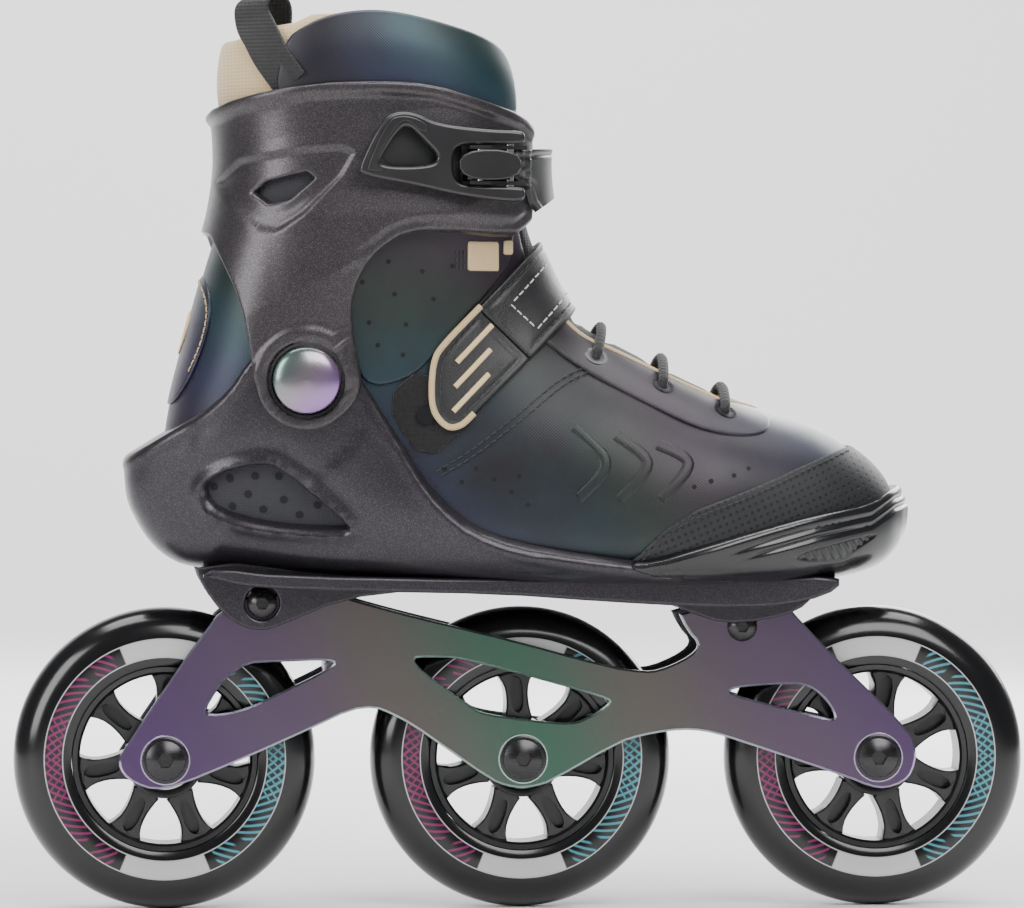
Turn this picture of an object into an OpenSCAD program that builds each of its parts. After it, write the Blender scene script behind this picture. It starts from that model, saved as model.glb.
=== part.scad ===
// Three-wheel inline skate, right foot, at real size in millimetres.
// +X points to the toe, +Y to the inner side of the foot, +Z up.
// The origin is on the ground, under the middle wheel.

/* [Wheels] */
// Outer diameter of the three tyres
wheel_d = 110; // [106:1:112]
// Width of a tyre
wheel_w = 24; // [22:1:25]
// Distance between neighbouring axles
axle_pitch = 130; // [126:1:132]
// Number of hub spokes
spokes = 7; // [5:1:9]

/* [Frame] */
// Clear width between the two frame walls
frame_gap = 30; // [29:1:31]
// Thickness of a frame wall
wall_t = 3.2; // [2.5:0.1:3.2]

/* [Boot] */
// Padding thickness of the soft upper
pad_t = 6; // [4:0.5:7]
// Thickness of the hard plastic of the shell and cuff
plastic_t = 3.5; // [2.5:0.1:3.6]
// Length that the toes have over the design last
last_extra = 0; // [0:0.5:2]

/* [Hidden] */
$fn = 48;

wheel_r = wheel_d / 2;
axle_x = [-axle_pitch, 0, axle_pitch];
axle_z = wheel_r;
frame_y = frame_gap / 2;
frame_out = frame_y + wall_t;

// Ankle pivot of the cuff, and the angle that the soft parts leave free for it.
pivot = [-80, 193];
flex_gap = 10;

// The last: cross-sections of the boot's outer skin, from the toe (0) over the heel (11) to the collar (19).
// Each row is a fan line from its low or back end A to its high or front end C, with the half width there.
// [A x, A z, C x, C z, half width, sideways shift, widest point 0..1, lower roundness, upper roundness, lift]
last = [
    [137.5, 140, 138, 144, 6, 7, .45, 2.2, 2.2, 0],
    [135, 134, 136.5, 150, 16, 7, .42, 2.4, 2.2, 0],
    [130, 129, 132.5, 158, 25.5, 6.5, .40, 2.6, 2.2, 0],
    [120, 125.5, 123.5, 166.5, 34.5, 6, .36, 3, 2.2, 0],
    [104, 123.5, 108, 175, 42, 4.5, .33, 3.5, 2.2, 0],
    [80, 122.5, 86, 182, 47, 3, .32, 4, 2.2, 0],
    [52, 122, 62, 192.5, 48.5, 2, .32, 4, 2.1, 0],
    [20, 122, 38, 204.5, 46, 1, .33, 4, 2.1, 0],
    [-14, 122.5, 24, 212, 43, 0.5, .35, 3.6, 2.1, 0],
    [-50, 123.5, 16, 220, 40.5, 0, .38, 3.2, 2.2, 0],
    [-88, 125, 10.5, 229, 39.5, 0, .42, 2.8, 2.3, 0],
    [-118, 132, 6.5, 238, 40, 0, .45, 2.6, 2.4, 0],
    [-130, 152, 3, 247.5, 41, 0, .46, 2.5, 2.5, 0],
    [-129, 178, 1, 257, 42, 0, .46, 2.5, 2.6, 0],
    [-123, 204, 0, 266, 43, 0, .46, 2.5, 2.7, 1],
    [-115.5, 231, 0, 275, 44, 0, .46, 2.5, 2.7, 3],
    [-109, 256, 0, 283, 45, 0, .46, 2.5, 2.7, 6],
    [-108, 278, -1, 291, 45.5, 0, .46, 2.5, 2.7, 9],
    [-110, 302, -2.5, 302, 45, 0, .46, 2.5, 2.6, 12],
    [-108, 320, -5, 313, 42, 0, .47, 2.4, 2.5, 12]
];
toe = 0;
collar_end = len(last) - 1;
ring_n = 28;

// ---- the last as a surface ----

function catmull(a, b, c, d, u) =
    0.5 * (2 * b + (c - a) * u + (2 * a - 5 * b + 4 * c - d) * u * u + (3 * b - a - 3 * c + d) * u * u * u);

function row(i) = last[max(0, min(collar_end, i))];

function station(t) =
    let (i = min(floor(t), collar_end - 1))
    catmull(row(i - 1), row(i), row(i + 1), row(i + 2), t - i);

function signed_power(x, p) = sign(x) * pow(abs(x), p);

// A point of the last's skin: t along it, a round it (0 front or top, 90 inner side, 180 back or sole), grown by d.
function skin(t, a, d) =
    let (
        s = station(t),
        low = [s[0], s[1]],
        high = [s[2], s[3]],
        along = (high - low) / norm(high - low),
        from = low - d * along,
        to = high + d * along,
        c = cos(a),
        power = 2 / (c > 0 ? s[8] : s[7]),
        v = c > 0 ? s[6] + (1 - s[6]) * pow(c, power) : s[6] * (1 - pow(-c, power)),
        p = from + (to - from) * v,
        toe_push = (d + last_extra) * max(0, 1 - t / 3)
    )
    [p[0] + toe_push, s[5] + (s[4] + d) * signed_power(sin(a), power), p[1] + s[9] * sin(180 * v)];

function middle(r) = [for (k = [0 : 2]) min([for (p = r) p[k]]) / 2 + max([for (p = r) p[k]]) / 2];

function ring(t, d) = [for (i = [0 : ring_n - 1]) skin(t, 360 * i / ring_n, d)];

// A closed body between two places on the last, grown by the function grow(t).
module last_body(t0, t1, grow, steps) {
    rings = [for (k = [0 : steps]) let (t = t0 + (t1 - t0) * k / steps) ring(t, grow(t))];
    points = [for (r = rings) each r, middle(rings[0]), middle(rings[steps])];
    last_ring = steps * ring_n;
    centre = (steps + 1) * ring_n;
    sides = [
        for (k = [0 : steps - 1], i = [0 : ring_n - 1])
            let (a = k * ring_n + i, b = k * ring_n + (i + 1) % ring_n)
            each [[a, b + ring_n, b], [a, a + ring_n, b + ring_n]]
    ];
    caps = [
        for (i = [0 : ring_n - 1])
            let (j = (i + 1) % ring_n)
            each [[centre, i, j], [centre + 1, last_ring + j, last_ring + i]]
    ];
    polyhedron(points, concat(sides, caps));
}

// The layer between two growths of the last. Both ends are open, but the toe is closed from t_in on.
module layer(t0, t1, inner, outer, steps, t_in = 0) {
    difference() {
        last_body(t0, t1, outer, steps);
        last_body(t0 == toe ? t_in : t0 - 0.1, t1 + 0.1, inner, steps);
    }
}

function flat(d) = function(t) d;

// Everything made of swept triangles is worked out by the mesh kernel as one piece.
module meshed() {
    resize([0, 0, 0]) children();
}

// Pushes a side view, drawn in X and Z, through the object from y0 to y1.
module slab(y0, y1) {
    translate([0, y1, 0]) rotate([90, 0, 0]) linear_extrude(y1 - y0) children();
}

module rounded(r) {
    offset(r, $fn = 24) offset(-2 * r, $fn = 24) offset(r, $fn = 24) children();
}

// ---- side views of the soft and plastic parts, in X and Z ----

cuff_top = [[-125, 291], [-99, 293], [-70, 296], [-35, 296], [-17, 290], [-4, 283], [3, 277]];

module cuff_side() {
    rounded(1.5) {
        polygon([
            each cuff_top,
            [1, 243], [-45, 244.5], [-54, 239], [-62, 229], [-65.5, 218], [-64, 205], [-62, 190],
            [-98, 190], [-101, 206], [-104.5, 218], [-109, 230], [-118, 242], [-130, 246]
        ]);
        translate(pivot) circle(18);
    }
}

module cuff_window_side() {
    rounded(0.8) polygon([[-102.5, 259], [-73, 266], [-91.5, 250]]);
}

// Edge of the heel cup, from the back of the heel over the ankle and down along the instep.
shell_rim = [
    [-150, 168], [-134, 171], [-118, 180], [-108, 188], [-101, 199], [-92, 209], [-72, 209], [-61, 194],
    [-54, 184], [-45, 170], [-38, 158], [-34, 149], [-28, 141.5], [-16, 134.6], [-3, 130.7], [15, 126.5], [33, 124.5]
];

module shell_side() {
    polygon([each shell_rim, [50, 117.4], [50, 108], [-150, 108]]);
}

module shell_window_side() {
    rounded(2) polygon([[-113, 163], [-96, 168], [-80, 165.5], [-49, 147.5], [-75, 148], [-113, 155]]);
}

module bumper_side() {
    polygon([
        [34.5, 124.7], [41, 124], [55.5, 128.6], [70, 133.6], [85, 140.2], [99, 143], [114, 147], [125, 149.7],
        [131.5, 154], [150, 154], [150, 112], [51.5, 112], [51.5, 117.6]
    ]);
}

module toe_cap_side() {
    polygon([
        [33, 125.5], [41, 136], [50, 142], [58.5, 147], [77, 154.5], [95.5, 162], [116.5, 170.5], [150, 176],
        [150, 148], [124, 145.5], [99, 139], [70, 129.5], [55.5, 124.6], [44, 120]
    ]);
}

// Where the soft boot parts into the half that stays with the foot and the half that turns with the cuff.
heel_split_r = 52;
instep_split_r = 80;
split_angle = 60;
tongue_angle = 36;

module pie(a0, a1, r = 400) {
    steps = 8;
    polygon([[0, 0], for (k = [0 : steps]) let (a = a0 + (a1 - a0) * k / steps) r * [cos(a), sin(a)]]);
}

module collar_zone() {
    translate(pivot) difference() {
        pie(tongue_angle, 150);
        circle(heel_split_r + 0.5, $fn = 96);
        intersection() {
            circle(instep_split_r + 0.5, $fn = 96);
            pie(-30, split_angle + flex_gap);
        }
    }
}

module foot_zone() {
    difference() {
        polygon([[-200, 100], [200, 100], [200, 260], [-200, 340]]);
        translate(pivot) difference() {
            pie(tongue_angle - flex_gap, 150);
            circle(heel_split_r, $fn = 96);
            intersection() {
                circle(instep_split_r, $fn = 96);
                pie(-30, split_angle);
            }
        }
    }
}

// ---- soft parts ----

throat_half = 17;
throat_x = [-30, 84];

module throat(half) {
    slab(-half, half) polygon([[throat_x[0], 180], [throat_x[1], 170], [throat_x[1], 205], [throat_x[0], 300]]);
}

module upper() {
    color([0.2, 0.2, 0.25]) meshed() difference() {
        intersection() {
            layer(toe, 18, flat(-pad_t), flat(0), 30, 1.7);
            slab(-80, 80) foot_zone();
        }
        throat(throat_half);
        lace_tube(lace_r + 0.3, 8);
    }
}

module tongue_base() {
    color([0.1, 0.1, 0.12]) meshed() intersection() {
        layer(3, 14, flat(-pad_t + 1), flat(-0.8), 24);
        throat(throat_half - 0.3);
        slab(-80, 80) intersection() {
            foot_zone();
            polygon([[2, 180], [throat_x[1] - 0.5, 170], [throat_x[1] - 0.5, 210], [2, 260]]);
        }
    }
}

module toe_cap() {
    color([0.12, 0.12, 0.13]) meshed() intersection() {
        layer(toe, 9, flat(0.2), flat(1), 22);
        slab(-80, 80) toe_cap_side();
    }
}

module footbed() {
    color("dimgray") meshed() intersection() {
        last_body(2, 13, flat(-pad_t - 0.3), 22);
        slab(-80, 80) polygon([[-126, 110], [128, 110], [128, 134.5], [100, 133], [60, 132], [-60, 133], [-126, 137]]);
    }
}

module heel_patch() {
    color([0.15, 0.13, 0.18]) meshed() intersection() {
        layer(11, 16, flat(0.35), flat(1.3), 10);
        slab(-80, 80) rounded(2) polygon([[-140, 182], [-124.5, 184], [-114, 198], [-111, 212], [-118, 228], [-140, 228]]);
        translate([pivot[0], 0, pivot[1]]) rotate([90, 0, 0]) cylinder(r = heel_split_r - 0.2, h = 200, center = true, $fn = 96);
    }
}

module collar_body(outer) {
    intersection() {
        layer(11, collar_end, flat(-pad_t), outer, 18);
        slab(-80, 80) collar_zone();
    }
}

tongue_half = 20;
tongue_back_x = -22;

module tongue_box(gap) {
    translate([tongue_back_x + gap, -tongue_half + gap, 150]) cube([80, 2 * tongue_half - 2 * gap, 250]);
}

module liner_collar() {
    color([0.86, 0.78, 0.6]) meshed() difference() {
        collar_body(flat(0));
        tongue_box(0);
    }
}

module tongue_top() {
    color([0.1, 0.1, 0.12]) meshed() intersection() {
        collar_body(function(t) min(0, 1.5 * (t - 15)));
        tongue_box(0.3);
    }
}

// ---- hard boot parts ----

pivot_y = 41;

module at_pivots() {
    for (side = [-1, 1])
        translate([pivot[0], side * pivot_y, pivot[1]]) rotate([-90 * side, 0, 0]) children();
}

module block_side() {
    polygon([[-99, 103.5], [-64, 103.5], [-64, 121], [-99, 121]]);
    polygon([[66, 97.5], [91, 97.5], [91, 118], [66, 118]]);
}

module ear_side() {
    rounded(2) polygon([
        [-116, 122], [-109, 111], [-101, 104.5], [-94, 102.5], [-86, 104.5], [-66, 113], [-40, 116.5], [-30, 122]
    ]);
    difference() {
        rounded(1) polygon([[56, 114], [60, 109.5], [72, 106], [88, 106], [99, 109.5], [105, 114]]);
        translate(mount_bolt_pos[1]) circle(8);
    }
}

mount_bolt_pos = [[-95, 112], [80, 103]];
mount_bolt_r = 3;
ear_t = 3.5;
ear_in = frame_out + 0.3;

module keel_side() {
    polygon([
        [-118, 121], [-100, 118], [-60, 116.5], [-10, 115.5], [30, 112.5], [66, 110.5], [88, 110.5],
        [102, 112.5], [114, 117], [114, 122.8], [104, 121.4], [80, 120.2], [52, 119.8], [-14, 120], [-50, 121.2],
        [-88, 122.4], [-112, 125.5]
    ]);
}

module shell() {
    color([0.16, 0.16, 0.17]) difference() {
        union() {
            meshed() union() {
                difference() {
                    intersection() {
                        layer(4, 16, flat(1), flat(0.9 + plastic_t), 24);
                        slab(-80, 80) shell_side();
                    }
                    slab(-80, 80) shell_window_side();
                }
                slab(-30, 30) keel_side();
            }
            slab(-frame_y + 0.3, frame_y - 0.3) block_side();
            for (side = [-1, 1])
                slab(side > 0 ? ear_in : -ear_in - ear_t, side > 0 ? ear_in + ear_t : -ear_in) ear_side();
        }
        at_pivots() translate([0, 0, -20]) cylinder(r = 5.2, h = 40);
        for (p = mount_bolt_pos)
            translate([p[0], 0, p[1]]) rotate([90, 0, 0]) cylinder(r = mount_bolt_r + 0.1, h = 100, center = true);
    }
}

module toe_bumper() {
    color([0.08, 0.08, 0.09]) meshed() difference() {
        intersection() {
            layer(toe, 9, flat(1.3), flat(5), 22);
            slab(-80, 80) bumper_side();
        }
        slab(-30.2, 30.2) offset(0.2) keel_side();
    }
}

// The cuff sits clear of the heel cup round the ankle and closes onto the liner at its rim.
function cuff_in(t) = t < 14 ? 5.4 : max(1, 5.4 - 1.6 * (t - 14));

module cuff() {
    color([0.22, 0.21, 0.22]) difference() {
        meshed() difference() {
            intersection() {
                layer(9, 18.6, function(t) cuff_in(t), function(t) cuff_in(t) + plastic_t, 17);
                slab(-80, 80) cuff_side();
            }
            slab(-80, 80) cuff_window_side();
        }
        at_pivots() translate([0, 0, -20]) cylinder(r = 7.1, h = 60);
    }
}

// The pivot of the cuff: a bolt through the heel cup, a bush in the cuff and a domed cap outside.
cup_face = 4.6;
cuff_face = 9.2;

module cuff_pivot_bolts() {
    color("dimgray") at_pivots() translate([0, 0, 0.8]) cylinder(r = 5, h = cuff_face - 0.4);
}

module cuff_pivot_bushes() {
    color("black") at_pivots() translate([0, 0, cup_face + 0.9]) difference() {
        cylinder(r = 7, h = cuff_face - cup_face - 0.9);
        translate([0, 0, -1]) cylinder(r = 5.1, h = 20);
    }
}

cap_r = 12.5;
cap_h = 3.4;

module cuff_pivot_caps() {
    sphere_r = (cap_r * cap_r + cap_h * cap_h) / (2 * cap_h);
    color([0.6, 0.5, 0.7]) at_pivots() translate([0, 0, cuff_face + 0.4]) intersection() {
        cylinder(r = cap_r, h = cap_h + 1);
        translate([0, 0, cap_h - sphere_r]) sphere(sphere_r, $fn = 180);
    }
}

// ---- laces, strap and pull loop ----

function unit(v) = v / norm(v);

// Outward normal of the last's skin.
function skin_normal(t, a, d) = unit(cross(
    skin(t, a + 1, d) - skin(t, a - 1, d),
    skin(t + 0.04, a, d) - skin(t - 0.04, a, d)
));

module on_skin(t, a, d) {
    n = skin_normal(t, a, d);
    translate(skin(t, a, d)) rotate([0, acos(n[2]), atan2(n[1], n[0])]) children();
}

function smooth(path, cuts) = [
    for (i = [0 : len(path) - 2], k = [0 : cuts - 1])
        catmull(path[max(0, i - 1)], path[i], path[i + 1], path[min(len(path) - 1, i + 2)], k / cuts),
    path[len(path) - 1]
];

function heading(path, i) = unit(path[min(len(path) - 1, i + 1)] - path[max(0, i - 1)]);

// A profile, drawn in its own X and Y, swept along a path. Its X axis stays as near to side as it can.
module sweep(path, profile, side) {
    n = len(profile);
    rings = [
        for (i = [0 : len(path) - 1])
            let (along = heading(path, i), up = unit(cross(along, side)), across = cross(up, along))
            [for (p = profile) path[i] + p[0] * across + p[1] * up]
    ];
    sides = [
        for (k = [0 : len(path) - 2], i = [0 : n - 1])
            let (a = k * n + i, b = k * n + (i + 1) % n)
            each [[a, b + n, b], [a, a + n, b + n]]
    ];
    polyhedron(
        [for (r = rings) each r],
        [[for (i = [0 : n - 1]) i], each sides, [for (i = [n - 1 : -1 : 0]) (len(path) - 1) * n + i]]
    );
}

function circle_profile(r, n) = [for (i = [0 : n - 1]) r * [cos(360 * i / n), sin(360 * i / n)]];
function flat_profile(w, h) = [[-w / 2, -h / 2], [w / 2, -h / 2], [w / 2, h / 2], [-w / 2, h / 2]];

lace_r = 1.75;
eyelet_a = 32;
lace_rows = [5.52, 6.42, 7.6];

// One lace row over the throat, from the eyelet on side s to the other one, down into the padding at both ends.
function lace_row(t, s) = [
    for (p = [[-32, -3], [-32, 0.4], [-28.5, 2.6], [-15, 2.7], [0, 2.7], [15, 2.7], [28.5, 2.6], [32, 0.4], [32, -3]])
        skin(t, s * p[0], p[1])
];

lace_path = smooth([
    skin(lace_rows[0] - 0.3, -eyelet_a, -3.2),
    each lace_row(lace_rows[0], 1),
    skin((lace_rows[0] + lace_rows[1]) / 2, eyelet_a, -3.2),
    each lace_row(lace_rows[1], -1),
    skin((lace_rows[1] + lace_rows[2]) / 2, -eyelet_a, -3.2),
    each lace_row(lace_rows[2], 1),
    skin(lace_rows[2] + 0.35, eyelet_a, -3.2)
], 3);

module lace_tube(r, n) {
    sweep(lace_path, circle_profile(r, n), [0.93, 0, -0.37]);
}

module laces() {
    color("black") meshed() lace_tube(lace_r, 8);
}

module eyelets() {
    color("dimgray") for (t = lace_rows, s = [-1, 1])
        on_skin(t, s * eyelet_a, 0.15) difference() {
            cylinder(r = 4.3, h = 0.9);
            translate([0, 0, -1]) cylinder(r = 3, h = 3);
        }
}

strap_t = 2;
strap_d = 1.3;
strap_dir = [0.694, 0.72];
strap_hinge = [-8, 210];

module strap_side(tip_back) {
    polygon([
        [15, 251], [5.2, 241.1], [-16.7, 219.9], [-30.2 - tip_back * 0.69, 205.5 - tip_back * 0.72],
        [-34.3 - tip_back, 192.7 - tip_back], [-34 - tip_back, 182.1 - tip_back],
        [-27.8 - tip_back * 0.69, 174.8 - tip_back * 0.72], [-19, 181], [21.2, 219.9], [36, 234]
    ]);
}

// The flap's half of the side view, from a gap short of the strap's fold line.
module beyond_fold(gap) {
    translate(strap_hinge) rotate(atan2(strap_dir[1], strap_dir[0])) translate([-100 - gap, -50]) square(100);
}

module strap_band() {
    layer(6.5, 14, flat(strap_d), flat(strap_d + strap_t), 18);
}

module instep_strap() {
    color([0.1, 0.1, 0.1]) meshed() difference() {
        intersection() {
            strap_band();
            slab(-80, 80) strap_side(8);
        }
        slab(-80, 0.7) beyond_fold(-0.15);
        on_skin(10.04, 82, 1.1) translate([0, 0, -2]) cylinder(r = 1.8, h = 9, $fn = 24);
    }
}

module strap_flap() {
    color([0.1, 0.1, 0.1]) meshed() intersection() {
        strap_band();
        slab(-80, 0) intersection() {
            strap_side(0);
            beyond_fold(0.35);
        }
    }
}

module strap_inlays() {
    color([0.85, 0.75, 0.56]) meshed() intersection() {
        layer(9, 11.5, flat(strap_d + strap_t + 0.08), flat(strap_d + strap_t + 0.6), 6);
        slab(-80, 0) for (k = [0 : 2])
            translate([-20 - 0.7 * k, 204 - 8.8 * k]) rotate(46) square([17, 2], center = true);
    }
}

module strap_anchor() {
    color([0.07, 0.07, 0.07]) meshed() intersection() {
        layer(8.5, 12, flat(0.25), flat(1), 8);
        slab(-80, 80) rounded(2) polygon([[-51.5, 186.5], [-36.6, 198.9], [-19.9, 178.1], [-36.8, 163.5]]);
    }
}

module strap_rivets() {
    color("black") {
        on_skin(10.04, -82, 1.1) cylinder(r = 3.3, h = 1.1);
        on_skin(10.04, 82, 1.1) {
            cylinder(r = 1.6, h = 2.5);
            translate([0, 0, 2.4]) cylinder(r = 4, h = 1.1);
        }
    }
}

loop_a = -128;

module pull_loop() {
    path = smooth([
        for (t = [17.5, 18, 18.5, 18.95]) skin(t, loop_a + 10 * (18 - t), 2.3),
        skin(19, loop_a - 10, 1.5) + [0, 0, 5],
        skin(19, loop_a - 10, -3) + [0, 0, 8],
        skin(19, loop_a - 10, -8) + [0, 0, 5],
        for (t = [18.9, 18.4]) skin(t, loop_a - 10, -8.9)
    ], 3);
    color("black") meshed() sweep(path, flat_profile(14, 1.4), unit(skin(18.5, loop_a - 15, 0) - skin(18.5, loop_a + 15, 0)));
}

// ---- buckle ----

buckle_pos = [-7, -46.8, 268];
buckle_turn = 9.5;
// Middle of the strap channel above the lever's pin, in the buckle's own frame (X forward, Y up, Z outward).
channel_y = 2;
cheek_half = 7;
release_z = 4.6;
cuff_skin = 9.1;
strap_in = 10.7;
strap_out = 12.7;

module at_buckle() {
    translate(buckle_pos) rotate([0, 0, buckle_turn]) rotate([90, 0, 0]) children();
}

// A pin or hole across the buckle, at (x, z), reaching half to each side of the channel.
module buckle_cross(x, z, r, half) {
    translate([x, channel_y + half, z]) rotate([90, 0, 0]) cylinder(r = r, h = 2 * half);
}

module ladder_side(grow) {
    offset(grow) polygon([[-19, 264.8], [0, 264.8], [4, 254], [25, 251], [25, 278], [4, 276.5], [0, 275.2], [-19, 275.2]]);
}

module ladder_strap() {
    color([0.1, 0.1, 0.11]) meshed() difference() {
        intersection() {
            layer(12.5, 17, flat(strap_in), flat(strap_out), 14);
            union() {
                slab(-80, 0) ladder_side(0);
                slab(0, 80) translate([-9, 0]) ladder_side(0);
                slab(-20, 20) translate([-14, 0]) square([1, 1]);
            }
        }
        on_skin(14.9, 59.6, cuff_skin + 0.05) translate([0, 0, -4]) cylinder(r = 2.2, h = 12, $fn = 24);
    }
}

module ladder_rivet() {
    color("silver") on_skin(14.9, 59.6, cuff_skin + 0.05) {
        cylinder(r = 2, h = 3.9);
        translate([0, 0, 3.8]) cylinder(r = 4, h = 1);
    }
}

module buckle_base() {
    color([0.12, 0.12, 0.13]) meshed() difference() {
        at_buckle() {
            translate([-18, channel_y - cheek_half, -14]) cube([24, 2 * cheek_half, 16]);
            translate([-16, channel_y - cheek_half, 0]) cube([8, 2 * cheek_half, 6.4]);
        }
        last_body(12.5, 17, flat(cuff_skin), 12);
        intersection() {
            layer(12.5, 17, flat(strap_in - 0.2), flat(strap_out + 14), 10);
            at_buckle() translate([-30, channel_y - 5.7, -30]) cube([60, 11.4, 60]);
        }
        at_buckle() {
            buckle_cross(0, 0, 1.55, 20, $fn = 32);
            buckle_cross(-12, release_z, 1.05, 20, $fn = 32);
        }
    }
}

module buckle_pin() {
    color("silver") at_buckle() buckle_cross(0, 0, 1.5, 12);
}

module lever_side() {
    rounded(1.2) difference() {
        polygon([
            [-56, 1.5], [-55, -2], [-37, -5], [-19.5, -8.9], [-3, -11], [4.5, -11], [4.5, -5.4], [-18, -5.4],
            [-21.5, -2], [-21.5, 6], [-18, 9.4], [4.5, 9.4], [4.5, 14.6], [-10, 14.8], [-27.3, 16.7],
            [-34.5, 20.3], [-41.1, 21.3], [-47, 18.8]
        ]);
        polygon([[-49, 3], [-39.5, 16.2], [-36, 14.5], [-27.2, 6], [-28.5, 2]]);
    }
}

module buckle_lever() {
    color([0.14, 0.14, 0.15]) at_buckle() difference() {
        union() {
            translate([0, 0, 0.6]) linear_extrude(3.2) lever_side();
            difference() {
                buckle_cross(0, 0, 3.6, 12);
                buckle_cross(0, 0, 5, cheek_half + 0.4);
            }
        }
        buckle_cross(0, 0, 1.56, 20);
    }
}

module release_tab() {
    color([0.3, 0.3, 0.32]) at_buckle() difference() {
        translate([0, channel_y + 3, 0]) rotate([90, 0, 0]) linear_extrude(8.2)
            polygon([[-16.5, 4.7], [-12, 2.6], [-9.5, 3.6], [-1, 3.6], [-1, 5.6], [-9, 6.6], [-15, 6.6]]);
        buckle_cross(-12, release_z, 1.06, 20);
    }
}

module release_pin() {
    color("silver") at_buckle() buckle_cross(-12, release_z, 1, cheek_half - 0.1);
}

module release_spring() {
    turns = 2;
    path = [for (a = [0 : 30 : 360 * turns]) [-12 + 1.6 * cos(a), channel_y + 3.5 + 1.7 * a / (360 * turns), release_z + 1.6 * sin(a)]];
    color("silver") at_buckle() meshed() sweep(path, circle_profile(0.3, 6), [0, 1, 0]);
}

// ---- frame, wheels and hardware ----

axle_r = 4;
boss_h = 2.9;

module frame_side() {
    difference() {
        rounded(1.2) polygon([
            [-141, 46.5], [-134, 44.2], [-125.4, 45.6], [-77.4, 66.1], [-62.8, 73], [-54, 73.9], [-40.5, 67.5],
            [-30.4, 60.4], [-11.9, 47.4], [0, 44.5], [9.9, 46.5], [35.1, 60.8], [43.6, 63.3], [53.6, 65], [62, 65.3],
            [80, 60.8], [118.4, 47.8], [132.9, 43.5], [142.7, 49.6], [144.3, 56.8], [141.8, 64.8], [112.2, 93.5],
            [100.6, 106], [98, 109.6], [56, 109.6], [60, 101.5], [64, 97], [60, 92], [49.7, 87.6], [44.1, 86.9],
            [31.7, 88.5], [-3.5, 98.2], [-26.2, 103.7], [-44.7, 108.3], [-61.5, 113], [-66, 114.5], [-80, 115],
            [-98, 115], [-113.2, 106], [-146, 58], [-145.5, 51]
        ]);
        rounded(1.5) polygon([
            [-117.2, 71.9], [-104.1, 89.9], [-88, 90.6], [-69.4, 91.2], [-68.6, 89], [-88.4, 79.4], [-100.5, 73.7],
            [-110.1, 71.6]
        ]);
        rounded(1.5) polygon([
            [-43, 92], [-32.1, 92.2], [-22, 91.5], [30.9, 76.8], [31.7, 75], [21.7, 68.8], [15, 67.9], [-15.3, 71.7],
            [-19.6, 74.7]
        ]);
        rounded(1.2) polygon([
            [74.5, 79.6], [80, 81], [97.9, 82], [105, 81], [111.3, 75.6], [114.5, 69], [112.2, 69], [80, 77.4]
        ]);
    }
}

module frame() {
    color([0.55, 0.45, 0.6]) difference() {
        union() {
            for (side = [-1, 1]) {
                slab(side > 0 ? frame_y : -frame_out, side > 0 ? frame_out : -frame_y) frame_side();
                for (x = axle_x)
                    translate([x, side > 0 ? frame_y + 0.5 : -frame_y + boss_h, axle_z]) rotate([90, 0, 0])
                        cylinder(r = 6, h = boss_h + 0.5);
            }
            slab(-frame_y - 0.5, frame_y + 0.5) {
                rounded(1.5) polygon([[-72, 76], [-59, 76], [-59, 97], [-72, 94]]);
                rounded(1.5) polygon([[58, 72], [70, 72], [70, 94], [58, 86]]);
            }
        }
        for (x = axle_x)
            translate([x, 0, axle_z]) rotate([90, 0, 0]) cylinder(r = axle_r + 0.05, h = 100, center = true);
        for (p = mount_bolt_pos)
            translate([p[0], 0, p[1]]) rotate([90, 0, 0]) cylinder(r = mount_bolt_r + 0.05, h = 100, center = true);
    }
}

module at_axles() {
    for (x = axle_x) translate([x, 0, axle_z]) rotate([90, 0, 0]) children();
}

bolt_shank = 12;

module wheel_axles() {
    color("silver") at_axles() difference() {
        cylinder(r = axle_r, h = 2 * frame_out, center = true);
        cylinder(r = 2.6, h = 100, center = true);
    }
}

module domed_head(r, h) {
    sphere_r = (r * r + h * h) / (2 * h);
    intersection() {
        cylinder(r = r, h = h);
        translate([0, 0, h - sphere_r]) sphere(sphere_r);
    }
}

module axle_bolts() {
    color("dimgray") at_axles() for (side = [0, 1]) mirror([0, 0, side]) {
        translate([0, 0, frame_out - bolt_shank]) cylinder(r = 2.55, h = bolt_shank + 0.5);
        translate([0, 0, frame_out + 0.02]) difference() {
            union() {
                cylinder(r = 7, h = 0.8);
                translate([0, 0, 0.8]) domed_head(7, 1.8);
            }
            translate([0, 0, 0.9]) cylinder(r = 2.9, h = 5, $fn = 6);
        }
    }
}

// The two cross bolts that hold the shell's tabs between the frame walls.
ear_face = [ear_in + ear_t, frame_out];

module mount_bolts() {
    color("dimgray") for (i = [0, 1]) translate([mount_bolt_pos[i][0], 0, mount_bolt_pos[i][1]]) rotate([90, 0, 0]) {
        translate([0, 0, -ear_face[i] - 5]) cylinder(r = mount_bolt_r, h = 2 * ear_face[i] + 5.5);
        translate([0, 0, ear_face[i] + 0.02]) difference() {
            domed_head(5.5, 3);
            translate([0, 0, 1]) cylinder(r = 2.4, h = 5, $fn = 6);
        }
    }
}

module mount_nuts() {
    color("silver") for (i = [0, 1]) translate([mount_bolt_pos[i][0], 0, mount_bolt_pos[i][1]]) rotate([90, 0, 0])
        translate([0, 0, -ear_face[i] - 4.02]) difference() {
            cylinder(r = 5.8, h = 4, $fn = 6);
            translate([0, 0, -1]) cylinder(r = mount_bolt_r + 0.05, h = 8);
        }
}

// Bearings: 8 mm bore, 22 mm outside, 7 mm wide.
race_w = 7;
race_in = 5;
ball_pitch_r = 7.5;
ball_r = 1.95;
hub_half = 12;

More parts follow.
